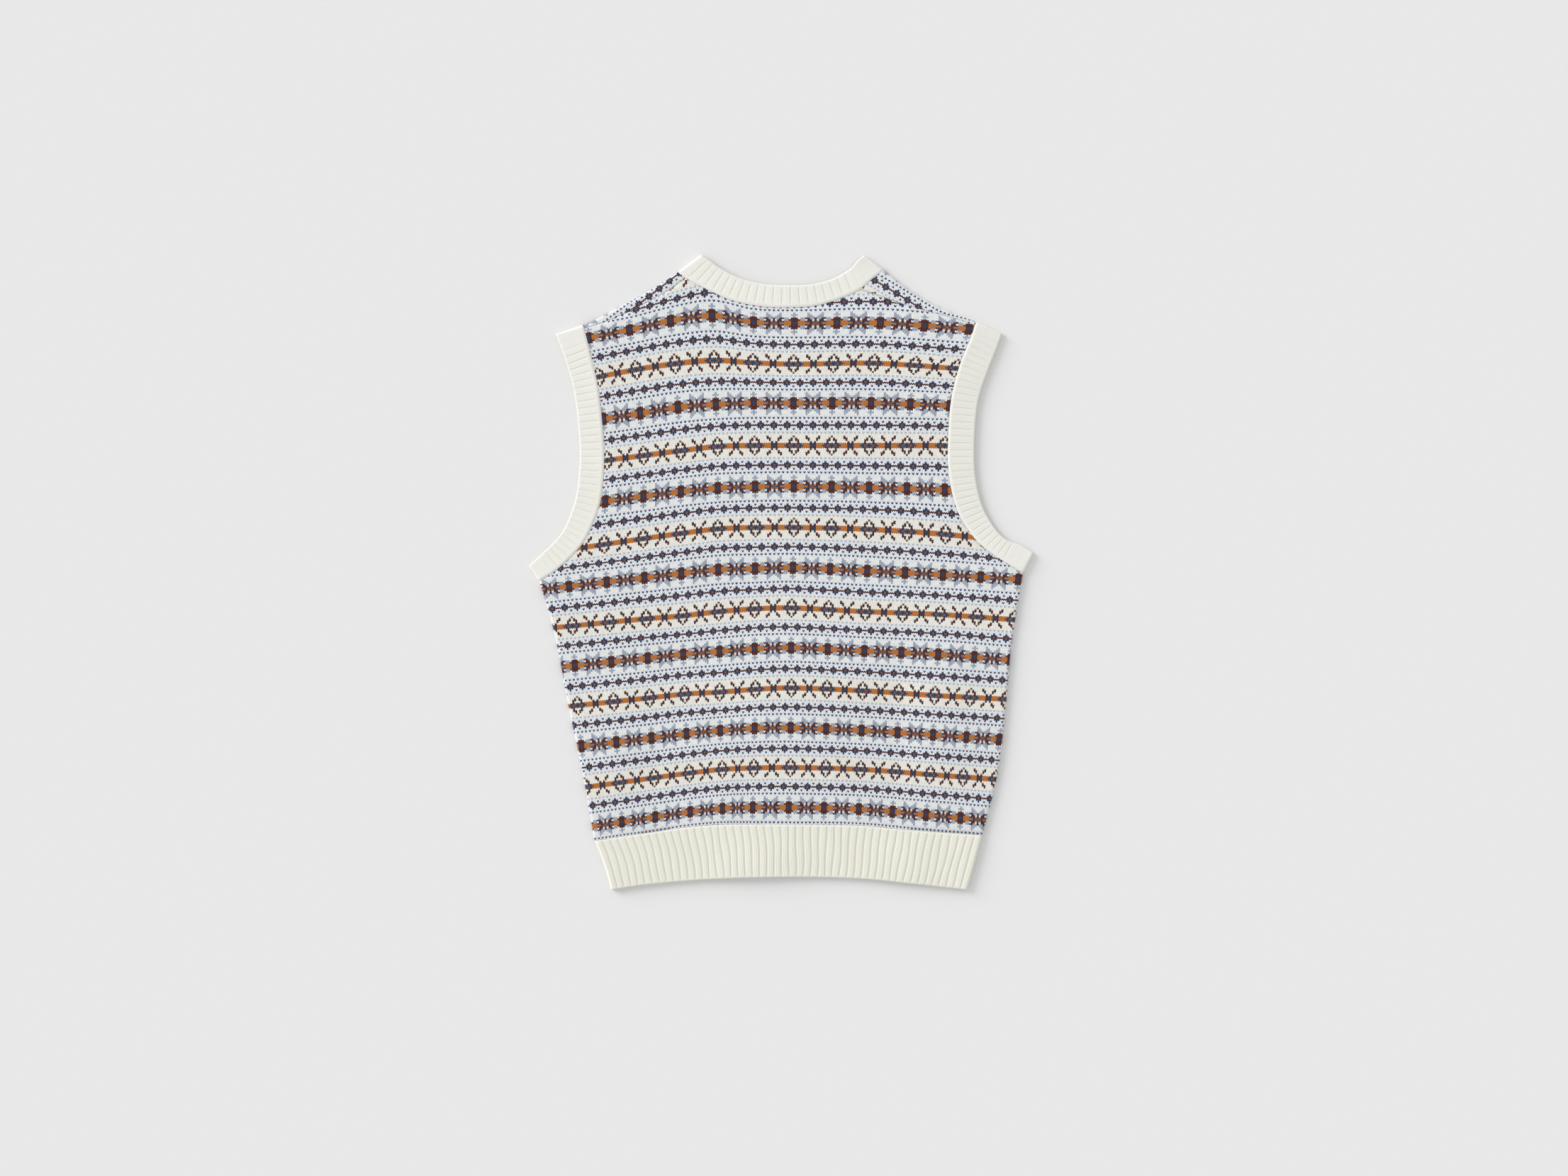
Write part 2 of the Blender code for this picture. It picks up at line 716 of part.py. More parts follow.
def make_hem_rib(name, layer, ribs):
    """A hem rib as sections across the hem, from its left side seam to its right.
    The layer is 1 for the back, on top, and -1 for the front, underneath."""
    columns = 2 * SHOULDER_COLUMNS + NECK_COLUMNS
    seam_chain = even_points(vectors(HEM_SEAM), columns)
    edge = vectors(HEM_EDGE)
    edge_places = even_places(edge, columns)
    edge_chain = [smooth_at(edge, place) for place in edge_places]
    sides = [vectors(HEM_SIDE[side]) for side in ("left", "right")]
    width = (seam_chain[-1] - seam_chain[0]).length
    sections = []
    for share, rise in hem_stations(ribs, width):
        top, low = on_chain(seam_chain, share), on_chain(edge_chain, share)
        bow = Vector((0, 0, 0))
        for side, weight in zip(sides, (1 - share, share)):
            bow += (side[1] - (side[0] + side[2]) / 2) * weight
        inward = min(share, 1 - share) * width
        reach = rounding(inward)
        spots = [
            # share from the hem's edge to its seam, reach, millimetres along the wall
            (1.0, LAYER_GAP / 2, 0.0),
            (0.5, LAYER_GAP / 2, 0.0),
            (0.0, LAYER_GAP / 2, EDGE_BASE),
            (0.0, LAYER_GAP / 2 + 0.5 * (reach - LAYER_GAP / 2), 0.0),
            (0.0, reach + rise, EDGE_STEP),
            (0.5, reach + rise, 0.0),
            (1.0, reach + rise, -SEAM_FLAT),
            (1.0, reach, 0.0),
        ]
        section = []
        for part, out, along in spots:
            point = low.lerp(top, part) + bow * 4 * part * (1 - part)
            point = point + (top - low).normalized() * along
            lift = relief(point) if layer > 0 else 0.0
            section.append(raised(point, SEAM_HEIGHT + lift + layer * out))
        sections.append(section)
    return finish(name, lofted(sections, closed=False), IVORY)


def main():
    clear_scene()
    make_back_panel()
    make_front_panel()
    make_neckband()
    for side in ("left", "right"):
        make_armhole_band(side)
    make_hem_rib("back_hem_rib", 1, HEM_RIBS)
    make_hem_rib("front_hem_rib", -1, 0)


main()
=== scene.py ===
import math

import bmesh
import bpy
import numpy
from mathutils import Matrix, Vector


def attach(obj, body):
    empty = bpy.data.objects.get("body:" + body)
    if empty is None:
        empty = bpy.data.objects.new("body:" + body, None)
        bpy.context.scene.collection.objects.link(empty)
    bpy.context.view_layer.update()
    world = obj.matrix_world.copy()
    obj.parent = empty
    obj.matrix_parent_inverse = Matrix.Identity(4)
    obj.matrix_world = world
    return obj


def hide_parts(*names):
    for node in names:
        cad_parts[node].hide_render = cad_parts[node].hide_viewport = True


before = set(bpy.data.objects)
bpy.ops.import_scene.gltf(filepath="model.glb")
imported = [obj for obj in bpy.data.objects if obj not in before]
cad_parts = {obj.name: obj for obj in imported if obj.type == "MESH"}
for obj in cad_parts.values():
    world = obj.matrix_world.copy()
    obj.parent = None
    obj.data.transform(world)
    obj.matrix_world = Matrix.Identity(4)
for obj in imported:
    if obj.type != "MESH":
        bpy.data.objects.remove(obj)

# A jacquard sweater vest, laid flat with its back up, seen from straight above.
#
# The vest is two layers of knitted cloth: the front lies face down on the floor and the back
# lies on it. Sizes and places below are millimetres in the frame's own axes: +Y towards the
# neck, +X to the right, +Z up. A panel's mesh follows its stitches: two columns of points for
# each wale, whose crests and valleys are real relief, and one row for a few courses. The legs
# of the single stitches are relief in the materials, with painted shade between them and in
# the ribs' grooves. A place on the cloth is told as a wale and a course, in the UV map
# "Stitches", and the colours are knitted from CHART by them.

bl_info = {
    "name": "Jacquard Sweater Vest",
    "version": (1, 0, 0),
    "blender": (4, 5, 0),
    "location": "View3D > Sidebar > Vest",
    "description": "Knits a sweater vest that lies flat, piece by piece, and sets its stage",
    "category": "Add Mesh",
}

MM = 0.001
SIDES = ("left", "right")

# ---- cloth
CLOTH_WALL = 2.4          # jersey, and rib in its grooves
RIB_RISE = 0.7            # a rib's crest above the jersey
LAYER_GAP = 0.6           # between the back and the front
SEAM_GAP = 0.04           # from a panel's edge to the middle of its seam
FOLD_RADIUS = CLOTH_WALL + LAYER_GAP / 2
SEAM_HEIGHT = FOLD_RADIUS
EDGE_WALL = 0.5           # what is left of a wall at a side seam, where it rounds away
SEAM_DIP = 0.3            # how far a panel's face dips at a linked seam
BAND_DIP = 0.85           # how far a band's face dips there
SEAM_DIP_REACH = 1.8
SEAM_FLAT = 3.2           # the plain strip between the ribs' ends and the seam
EDGE_RADIUS = 1.3         # a rib's cast-off edge
BAND_FALL = 1.3           # how much lower an armhole band lies at its free edge
BAND_WIDTH = 24           # of the neckband in front
FRONT_NECK_DROP = 96      # neck seam of the front, below its shoulder folds
ON_FOLD = 0.05            # a point this near a shoulder's fold line lies on it
STRIP_AT_ARMHOLE = 3.8    # width of the front's strip on the back, where it ends at the band

# ---- knit
WALE_DEPTH = 0.32         # valley between two wales
WALE_POINTS = 2           # columns of points for each wale
ROW_COURSES = 3           # courses for each row of points
STITCH_WIDTH = 2.26
STITCH_HEIGHT = 1.86
RIB_COURSE = 1.9          # stitch height in the ribs
HEM_RIBS = 50
ARMHOLE_RIBS = {"left": 38, "right": 39}
NECK_RIBS = 24
HEM_DEPTH = 58
HEM_SWAY = 0.5            # how far a rib of the hem leans sideways
HEM_PLAIN = (0.3, 0.3)    # how many ribs are missing at the two ends of the hem,
ARMHOLE_PLAIN = (2.6, 2.4)  # at the two folds of an armhole band
NECK_PLAIN = (0.6, 3.6)   # and at those of the neckband

# ---- points along and across the pieces
EDGE_STEPS = 60           # along a panel's lower, side and armhole edges
NECK_STEPS = 48
SHOULDER_STEPS = 24
SEAM_STEPS = 40           # along a seam at which a face dips
BAND_STEPS = 7            # across the ribs of a band
HEM_STEPS = 22            # across the ribs of the hem
STRIP_ROWS = 8            # from a shoulder's fold to its seam
INNER_PLACES = (1.0, 0.5, 0.08, 0.03)  # back along a band's inside, shares of its width
SIDE_PLACES = (0.3, 1.0, 1.9, 2.7)     # extra sections of a hem rib beside its side seams
FOLD_STEPS = (75, 60, 45, 30, 15, 0, -15, -30, -45, -60, -75)   # degrees round a band's fold
ROLL_ANGLES = (-72, -54, -36, -18, 0, 18, 36, 54, 72, 90)       # and round a shoulder's
HEM_SECTION = [
    # share of a rib's pitch, height, groove
    (0.0, 0.0, 1.0),
    (0.08, 0.4, 0.7),
    (0.17, 0.84, 0.2),
    (0.32, 1.0, 0.0),
    (0.5, 0.93, 0.0),
    (0.68, 1.0, 0.0),
    (0.83, 0.84, 0.2),
    (0.92, 0.4, 0.7),
]
BAND_SECTION = [
    (0.0, 0.0, 1.0),
    (0.06, 0.55, 0.55),
    (0.13, 0.92, 0.08),
    (0.3, 1.0, 0.0),
    (0.5, 0.95, 0.0),
    (0.7, 1.0, 0.0),
    (0.87, 0.92, 0.08),
    (0.94, 0.55, 0.55),
]

# ---- outline, seen from above: (x, y)
HEM_EDGE = [(-180, -336), (-136, -329.8), (-64, -324.2), (12, -322.4), (80, -324), (132, -328.8),
            (196.5, -336)]
HEM_SEAM = [(-197.4, -284.2), (-136, -275.2), (-100, -269.9), (-64, -267.0), (-28, -266.6),
            (8, -266.8), (80, -267.8), (116, -271.0), (152, -274.0), (212.6, -278.4)]
SIDE_SEAM = {
    "left": [(-197.4, -284.2), (-210.5, -209), (-225, -141), (-236.3, -80), (-245.2, -44)],
    "right": [(212.6, -278.4), (229.5, -209), (237.5, -141), (243, -80), (248.4, -44)],
}
HEM_SIDE = {
    "left": [(-197.4, -284.2), (-187.5, -309), (-180, -336)],
    "right": [(212.6, -278.4), (204.5, -309), (196.5, -336)],
}

# The fold over each shoulder, from the neckband's free edge to the armhole band's.
SHOULDER_FOLD = {
    "left": [
        # place, x, y
        ("neck edge", -84.0, 335.6),
        ("neck seam", -108.8, 317.2),
        ("inner shoulder", -136.5, 299.2),
        ("mid shoulder", -166.5, 282.7),
        ("outer shoulder", -196.5, 267.0),
        ("armhole seam", -209.3, 261.0),
        ("armhole edge", -238.3, 252.0),
    ],
    "right": [
        ("neck edge", 87.0, 335.2),
        ("neck seam", 108.0, 319.4),
        ("inner shoulder", 133.5, 299.2),
        ("mid shoulder", 163.5, 281.3),
        ("outer shoulder", 193.5, 269.3),
        ("armhole seam", 206.0, 264.4),
        ("armhole edge", 234.0, 252.6),
    ],
}
NECK_PLACE = 1            # rows of SHOULDER_FOLD where a seam crosses the fold
ARMHOLE_PLACE = 5

# The fold of each armhole band under the arm: its free edge, then its seam.
UNDERARM_FOLD = {
    "left": [(-267.4, 6.7), (-255.6, -9.8)],
    "right": [(267.4, 20.2), (255.8, -1.0)],
}

# Crosswise lines of the armhole bands, from under the arm to the shoulder.
ARMHOLE_BAND = {
    "left": [
        # free edge x, y, seam x, y
        (-252.0, 20.2, -237.0, 2.6),
        (-237.0, 35.2, -218.0, 20.5),
        (-227.2, 50.2, -205.0, 38.4),
        (-217.0, 79.5, -191.2, 73.7),
        (-213.0, 118.0, -187.0, 118.0),
        (-214.8, 158.0, -189.3, 160.5),
        (-219.6, 193.0, -194.0, 198.1),
        (-228.0, 223.0, -202.0, 233.0),
    ],
    "right": [
        (253.5, 28.5, 244.0, 6.0),
        (237.0, 35.2, 223.0, 19.4),
        (223.5, 50.2, 204.2, 35.8),
        (211.5, 74.0, 185.8, 66.0),
        (204.9, 108.0, 176.9, 106.5),
        (204.9, 146.0, 176.8, 147.5),
        (208.5, 181.0, 180.2, 185.2),
        (217.5, 209.5, 189.4, 220.5),
        (227.5, 235.0, 200.6, 248.0),
    ],
}

# Crosswise lines of the neckband's back arc, from the left shoulder to the right.
NECKBAND_BACK = [
    # free edge x, y, seam x, y
    (-78.0, 331.2, -101.5, 310.9),
    (-61.5, 319.5, -76.5, 297.7),
    (-41.0, 309.7, -50.2, 286.5),
    (-16.5, 304.1, -19.5, 280.4),
    (8.2, 303.0, 8.2, 279.6),
    (32.2, 304.1, 36.0, 281.4),
    (54.7, 310.0, 62.5, 289.0),
    (73.4, 321.0, 83.0, 298.4),
    (80.8, 329.5, 95.4, 309.0),
]
LEFT_SHOULDER_LINE = 1    # lines of the neckband, counted from its left fold,
RIGHT_SHOULDER_LINE = 8   # at which the shoulder seams meet it

# Shoulder seams on the back, between the neckband and the armhole band.
SHOULDER_SEAM = {
    "left": [(-114.7, 300.6), (-135, 288.8), (-166.5, 273), (-187.5, 264.2)],
    "right": [(104.2, 291.8), (126, 284.2), (148.5, 277.6), (179.2, 269.6)],
}

# ---- soft ridges in the back, where the cloth lifts off the front
SOFT, CREASED = 2, 1      # how a ridge's right flank ends
RIDGES = [
    # crest x, y, reach left, right, down, up, rise, right flank
    (0, -165, 127, 120, 185, 150, 3.6, CREASED),
    (-178, -190, 46, 50, 95, 100, 2.0, SOFT),
    (158, -150, 37, 70, 165, 120, 2.4, SOFT),
    (-40, 120, 150, 160, 130, 110, 1.2, SOFT),
    (-30, -326, 66, 76, 42, 60, 2.4, SOFT),
    (128, -322, 56, 58, 40, 60, 1.3, SOFT),
]

# ---- where the stitches lie: plan places of nine wales, at fifteen courses
NET_WALES = (-108, -72, -54, -36, -18, 0, 36, 72, 108)
NET = [
    # course, then (x, y) on each wale
    (-8, (-202, -282.6), (-133, -272.7), (-96, -267.1), (-61.5, -264.2), (-30.5, -264.1),
     (7.5, -264.4), (81.5, -265.4), (152, -271.9), (226, -277.2)),
    (0, (-203, -269.5), (-133, -259), (-96, -253.5), (-62, -250), (-30, -248.5), (8, -248.5),
     (82, -250.5), (153, -256.5), (226, -263.5)),
    (23, (-207, -227.5), (-134, -217.5), (-97, -212.5), (-62, -208.5), (-29, -207), (10, -206.5),
     (84, -208.5), (157.5, -214), (226.5, -219)),
    (46, (-211, -184), (-137, -175.5), (-100, -171), (-64.5, -167.5), (-28, -165), (10, -164.5),
     (85, -167.5), (160.5, -172), (230, -177)),
    (69, (-215, -141), (-139, -133), (-102, -129), (-65, -127), (-27, -124), (11, -122.5),
     (86, -125.5), (162, -130.5), (238, -134.5)),
    (92, (-218, -99), (-141, -91), (-103.5, -87), (-65, -84), (-28, -81), (10.5, -80),
     (88, -83.5), (166, -87), (242, -93)),
    (115, (-220.5, -57), (-142.5, -49.5), (-104, -46.5), (-66, -42), (-28, -39), (11, -38),
     (89, -42), (168, -45), (246, -50.5)),
    (138, (-224, -15), (-144.5, -6), (-105.5, -1.5), (-66.5, 2.5), (-27.5, 3.5), (12.5, 4.5),
     (91, 1), (171, -3), (250.5, -7.5)),
    (161, (-229, 22.5), (-146, 35), (-106.5, 40.5), (-67, 45.5), (-27, 47), (13.5, 47),
     (93, 45), (174, 39.5), (255, 30)),
    (184, (-226.5, 69.5), (-145.5, 80), (-106, 85), (-67, 88.5), (-27.5, 90), (13.5, 90.5),
     (93, 89), (173, 86.5), (253.5, 81.5)),
    (207, (-222, 113), (-145, 123), (-106, 128), (-67, 132.5), (-28, 133.5), (13.5, 133.5),
     (93, 133.5), (172.5, 133.5), (252, 130.5)),
    (230, (-226.5, 156), (-149, 167.5), (-109, 174), (-69, 177), (-29, 178.5), (13, 178.5),
     (95, 178.5), (178, 176), (261, 173)),
    (253, (-231, 198.5), (-153, 214), (-112, 220), (-70.5, 223.5), (-30, 221), (13, 219.5),
     (97.5, 220.5), (184, 215), (269, 209)),
    (276, (-247.5, 239), (-160.5, 256), (-117, 265.5), (-73, 271), (-29, 264), (14, 263),
     (105, 263), (199, 257), (291, 251)),
    (284, (-247.5, 253), (-160.5, 269), (-117, 280), (-73.5, 287), (-29, 278), (14, 276.5),
     (105, 278), (199, 270), (291, 262)),
]
NET_REACH = {"wale": (-130, 116), "course": (-12, 312)}

# On a strip over a shoulder, the row of dots that runs beside the fold.
STRIP_DOTS = {
    "left": [(-149.5, 293), (-164.5, 281.5), (-185, 266)],
    "right": [(108.5, 311), (129.5, 298.5), (153.5, 283.5), (171, 274), (186, 270)],
}
STRIP_DOT_COURSE = 8

# ---- the Fair Isle chart: a repeat is 18 stitches by 46 courses, and mirrors about both ends
# of each row and about the first and last rows. A row has columns 0 to 9.
CHART = [
    "NNOOOOONNT", "NBOOONNBON", "BBBLL.BB.N", "BB.LLBBLLB", "L.....LLL.", "LL....LL..",
    "L.....L...", "..........", ".N.N.N.N.N", "..........", "N..N..N..N", "..NNN...NN",
    "BBDTDBBBDT", "..NNN...NN", "N..N..N..N", "..........", ".G.G.G.G.G", "..........",
    "B.....B...", ".B....BB..", ".BB....B..", "..B.....B.", "NTNNOOOOBN", "NNTNNOOONN",
]
CHART_COLUMNS = 10
STAR_ROWS = 7             # the ground of the first rows is white,
PEERIE_ROWS = 17          # up to here it is icy, and then ivory

# ---- wool
# Painted shade in the grooves between the ribs: the yarn's colour is multiplied darker there, where
# shade would fall.
HEM_GROOVE_SHADE = (0.85, 0.83, 0.76)     # what the grooves multiply the yarn's colour by
BAND_GROOVE_SHADE = (0.88, 0.86, 0.77)
WOOL = {"Metallic": 0.0, "Specular IOR Level": 0.2, "Sheen Weight": 0.12, "Sheen Roughness": 0.6}
WOOL_ROUGHNESS = (0.98, 0.86)     # between the stitches and on them
BUMP_STRENGTH = 0.7
WANDER_SCALE, WANDER = 2.3, 0.35  # how finely and how far the stitches stray
JERSEY_SLANT, RIB_SLANT = 0.6, 0.8
JERSEY_FIBRE, RIB_FIBRE = 0.18, 0.2
CREST_WALE = 0.32                 # of a rib's pitch
# Height darkens the colour between the stitches' legs, which is painted shade; Chance, Fibre and
# Patch are the yarn's own random tones.
JERSEY_SHADE_AND_TONES = {
    # from low, high, to dark, light
    "Height": (0.1, 0.9, 0.86, 1.0),
    "Chance": (0, 1, 0.95, 1.04),
    "Fibre": (0.2, 0.8, 0.93, 1.05),
    "Patch": (0.3, 0.7, 0.985, 1.01),
}
# Height darkens the colour between the legs and in the grooves, which is painted shade; Fibre and
# Patch are random tones.
RIB_SHADE_AND_TONES = {
    "Height": (0.0, 0.9, 0.95, 1.0),
    "Fibre": (0.2, 0.8, 0.97, 1.02),
    "Patch": (0.3, 0.7, 0.985, 1.01),
}

# ---- picture
FRAME_CENTRE = (3.0, -16.9)
SENSOR_WIDTH = 36
FLOOR_SIZE = 24                   # metres
FLOOR_ROUGHNESS = 0.95
KEY_SPREAD = 32                   # degrees across the key light, which softens its shadows


def linear(code):
    """A web colour in Blender's linear light."""
    shares = [int(code[i:i + 2], 16) / 255 for i in (0, 2, 4)]
    return tuple(s / 12.92 if s <= 0.04045 else ((s + 0.055) / 1.055) ** 2.4 for s in shares)


# ---- settings that a user would change

def colour_setting(name, code):
    return bpy.props.FloatVectorProperty(
        name=name, description="Colour of the " + name.lower(), subtype="COLOR", size=3,
        min=0, max=1, default=linear(code))


class VestYarns(bpy.types.PropertyGroup):
    """Colours of the yarns."""
    white: colour_setting("White yarn", "EFF1EF")
    ice: colour_setting("Icy yarn", "E9ECF1")
    ivory: colour_setting("Ivory yarn", "F1F0E8")
    rib: colour_setting("Rib yarn", "F2F1EA")
    hem: colour_setting("Hem rib yarn", "EEEDE2")
    ochre: colour_setting("Ochre yarn", "BE7432")
    burgundy: colour_setting("Burgundy yarn", "4E2420")
    navy: colour_setting("Navy yarn", "2E3E5C")
    blue: colour_setting("Pale blue yarn", "A2ACBE")
    grey: colour_setting("Grey yarn", "B9BCBE")
    tan: colour_setting("Camel yarn", "8A6247")
    plum: colour_setting("Plum yarn", "45262E")


class VestKnit(bpy.types.PropertyGroup):
    """Form of the stitches."""
    wale_depth: bpy.props.FloatProperty(
        name="Wale depth", description="Depth of the valley between two wales",
        default=WALE_DEPTH * MM, min=0, unit="LENGTH")
    stitch_relief: bpy.props.FloatProperty(
        name="Stitch relief", description="Height of a stitch's legs, shown by the material",
        default=0.45 * MM, min=0, unit="LENGTH")
    hem_groove: bpy.props.FloatProperty(
        name="Hem grooves", description="Depth of the grooves between the hem's ribs",
        default=0.55 * MM, min=0, unit="LENGTH")
    band_groove: bpy.props.FloatProperty(
        name="Band grooves", description="Depth of the grooves between the bands' ribs",
        default=0.34 * MM, min=0, unit="LENGTH")


class VestStage(bpy.types.PropertyGroup):
    """Floor and light."""
    floor: colour_setting("Floor", "E6E6E6")
    sky_strength: bpy.props.FloatProperty(
        name="Sky strength", description="Even light from all round", default=0.755, min=0)
    key_strength: bpy.props.FloatProperty(
        name="Key strength", description="Light from the upper left", default=2.35, min=0)
    key_height: bpy.props.FloatProperty(
        name="Key height", description="Angle of the key light above the floor",
        default=math.radians(21), subtype="ANGLE")
    key_bearing: bpy.props.FloatProperty(
        name="Key bearing", description="Where the key light comes from, turned from +X",
        default=math.radians(148), subtype="ANGLE")
    frame_width: bpy.props.FloatProperty(
        name="Frame width", description="Width of the floor that the picture shows",
        default=1659 * MM, unit="LENGTH")
    lens: bpy.props.FloatProperty(
        name="Lens", description="Focal length of the camera in millimetres", default=85)


# ---- curves in plan

def vectors(rows):
    return [Vector((row[-2], row[-1], 0)) for row in rows]


def smooth_at(points, place):
    """The Catmull-Rom curve through the points. Place counts points from 0."""
    last = len(points) - 1
    i = min(max(int(math.floor(place)), 0), last - 1)
    t = place - i
    p1, p2 = points[i], points[i + 1]
    p0 = points[i - 1] if i > 0 else 2 * p1 - p2
    p3 = points[i + 2] if i + 2 <= last else 2 * p2 - p1
    return 0.5 * (2 * p1 + (p2 - p0) * t + (2 * p0 - 5 * p1 + 4 * p2 - p3) * t * t
                  + (3 * p1 - p0 - 3 * p2 + p3) * t * t * t)


def even_places(points, steps, fine=12):
    """Places on the smooth curve that part it into steps of equal length."""
    count = (len(points) - 1) * fine
    places = [i / fine for i in range(count + 1)]
    reach = [0.0]
    for a, b in zip(places, places[1:]):
        reach.append(reach[-1] + (smooth_at(points, b) - smooth_at(points, a)).length)
    found = []
    i = 0
    for step in range(steps + 1):
        want = reach[-1] * step / steps
        while i < count - 1 and reach[i + 1] < want:
            i += 1
        part = (want - reach[i]) / (reach[i + 1] - reach[i])
        found.append(places[i] + min(part, 1.0) / fine)
    return found


def even_points(points, steps):
    return [smooth_at(points, place) for place in even_places(points, steps)]


def on_chain(chain, share):
    """A point on the straight links of a chain. Each link is one equal share."""
    place = share * (len(chain) - 1)
    i = min(int(place), len(chain) - 2)
    return chain[i].lerp(chain[i + 1], place - i)


def to_left(chain):
    """Unit plan normals at a chain's points, to the left of its direction."""
    normals = []
    for i in range(len(chain)):
        along = chain[min(i + 1, len(chain) - 1)] - chain[max(i - 1, 0)]
        normals.append(Vector((-along.y, along.x, 0)).normalized())
    return normals


def stepped(chain, distance):
    """The chain moved to its left by a distance."""
    return [point + normal * distance for point, normal in zip(chain, to_left(chain))]


def smooth_share(value, start, end):
    """0 before the start, 1 past the end, with a soft rise between."""
    share = min(max((value - start) / (end - start), 0.0), 1.0)
    return share * share * (3 - 2 * share)


# ---- where the cloth turns over

def fold_point(side, place):
    return smooth_at(vectors(SHOULDER_FOLD[side]), place)


def fold_outward(side, place):
    step = 0.05
    along = fold_point(side, place + step) - fold_point(side, place - step)
    outward = Vector((along.y, -along.x, 0)).normalized()
    return outward if side == "left" else -outward


def fold_base(side, place):
    """The line about which the cloth turns, one radius inside the outline."""
    return fold_point(side, place) - FOLD_RADIUS * fold_outward(side, place)


def underarm_outward(side):
    free, seam = vectors(UNDERARM_FOLD[side])
    along = (seam - free).normalized()
    outward = Vector((along.y, -along.x, 0))
    return outward if side == "left" else -outward


def underarm_base(side):
    return [p - FOLD_RADIUS * underarm_outward(side) for p in vectors(UNDERARM_FOLD[side])]


def turned(base, outward, reach, angle):
    """A point at that reach from a fold's line: 90 degrees is on top, -90 underneath."""
    turn = math.radians(angle)
    return base + Vector((outward.x * reach * math.cos(turn), outward.y * reach * math.cos(turn),
                          SEAM_HEIGHT + reach * math.sin(turn)))


# ---- chains that pieces share

def band_edges(side):
    """Smooth points of an armhole band's two edges, fold line to fold line."""
    under_free, under_seam = underarm_base(side)
    rows = ARMHOLE_BAND[side]
    last = len(SHOULDER_FOLD[side]) - 1
    free = [under_free] + [Vector((r[0], r[1], 0)) for r in rows] + [fold_base(side, last)]
    seam = [under_seam] + [Vector((r[2], r[3], 0)) for r in rows] + [fold_base(side, ARMHOLE_PLACE)]
    return free, seam


def neck_edges():
    """Smooth points of the neckband's back edges, left fold line to right fold line."""
    free = [Vector((r[0], r[1], 0)) for r in NECKBAND_BACK]
    seam = [Vector((r[2], r[3], 0)) for r in NECKBAND_BACK]
    free = [fold_base("left", 0)] + free + [fold_base("right", 0)]
    seam = [fold_base("left", NECK_PLACE)] + seam + [fold_base("right", NECK_PLACE)]
    return free, seam


def neck_chain(steps):
    """The neck seam on the back panel, between the shoulder seams."""
    return even_points(neck_edges()[1][LEFT_SHOULDER_LINE:RIGHT_SHOULDER_LINE + 1], steps)


def front_neck_edges(steps):
    """The two edges of the neckband's front arc, free and seam: each is half an ellipse."""
    chains = []
    seam_rise = fold_base("left", 0).y - fold_base("left", NECK_PLACE).y
    free_drop = FRONT_NECK_DROP + seam_rise - BAND_WIDTH
    for place, drop in ((0, free_drop), (NECK_PLACE, FRONT_NECK_DROP)):
        left, right = fold_base("left", place), fold_base("right", place)
        middle, half = (left + right) / 2, (right - left) / 2
        chain = []
        for i in range(steps + 1):
            turn = math.pi * i / steps
            chain.append(middle - half * math.cos(turn) + Vector((0, -drop * math.sin(turn), 0)))
        chains.append(chain)
    return chains


def shoulder_chain(side, steps):
    """The shoulder seam on the back, from the armhole band to the neckband."""
    armhole = band_edges(side)[1]
    corner = fold_base(side, ARMHOLE_PLACE)
    towards = (armhole[-2] - corner).normalized()
    end = corner + towards * (STRIP_AT_ARMHOLE - FOLD_RADIUS)
    line = LEFT_SHOULDER_LINE if side == "left" else RIGHT_SHOULDER_LINE
    neck = neck_edges()[1][line]
    return even_points([end] + vectors(SHOULDER_SEAM[side])[::-1] + [neck], steps)


def side_chain(side, steps):
    seam = vectors(UNDERARM_FOLD[side])[1]
    return even_points(vectors(SIDE_SEAM[side]) + [seam], steps)


# ---- heights

def bump(offset, reach_back, reach_on, end=SOFT):
    share = offset / (reach_on if offset > 0 else reach_back)
    if abs(share) >= 1:
        return 0.0
    return math.cos(math.pi / 2 * share) ** (end if offset > 0 else SOFT)


def relief(point):
    """How far the back has lifted at a point, over the ridges."""
    rise = 0.0
    for x, y, left, right, down, up, height, end in RIDGES:
        rise += height * bump(point.x - x, left, right, end) * bump(point.y - y, down, up)
    return rise


def rounding(inward):
    """A wall's outer reach from the seam height, this far inside a side seam."""
    if inward >= FOLD_RADIUS:
        return FOLD_RADIUS
    share = 1 - inward / FOLD_RADIUS
    return max(FOLD_RADIUS * math.sqrt(1 - share * share), LAYER_GAP / 2 + EDGE_WALL)


# ---- the net of stitches

def across_knots(knots, wale):
    """The smooth course through the knots of NET_WALES, straight on past the outer ones."""
    i = 0
    while i < len(NET_WALES) - 2 and NET_WALES[i + 1] < wale:
        i += 1
    slopes = []
    for k in (i, i + 1):
        a, b = max(k - 1, 0), min(k + 1, len(NET_WALES) - 1)
        slopes.append((knots[b] - knots[a]) / (NET_WALES[b] - NET_WALES[a]))
    span = NET_WALES[i + 1] - NET_WALES[i]
    t = (wale - NET_WALES[i]) / span
    if t < 0:
        return knots[i] + slopes[0] * (t * span)
    if t > 1:
        return knots[i + 1] + slopes[1] * ((t - 1) * span)
    return (knots[i] * (1 + 2 * t) * (1 - t) ** 2 + slopes[0] * (span * t * (1 - t) ** 2)
            + knots[i + 1] * t * t * (3 - 2 * t) + slopes[1] * (span * t * t * (t - 1)))


def knots_at(course):
    """Places of the nine wales at any course, straight on past the first and last."""
    i = 0
    while i < len(NET) - 2 and NET[i + 1][0] < course:
        i += 1
    part = (course - NET[i][0]) / (NET[i + 1][0] - NET[i][0])
    low, high = vectors_of(NET[i][1:]), vectors_of(NET[i + 1][1:])
    return [a.lerp(b, part) for a, b in zip(low, high)]


def vectors_of(pairs):
    return [Vector((x, y, 0)) for x, y in pairs]


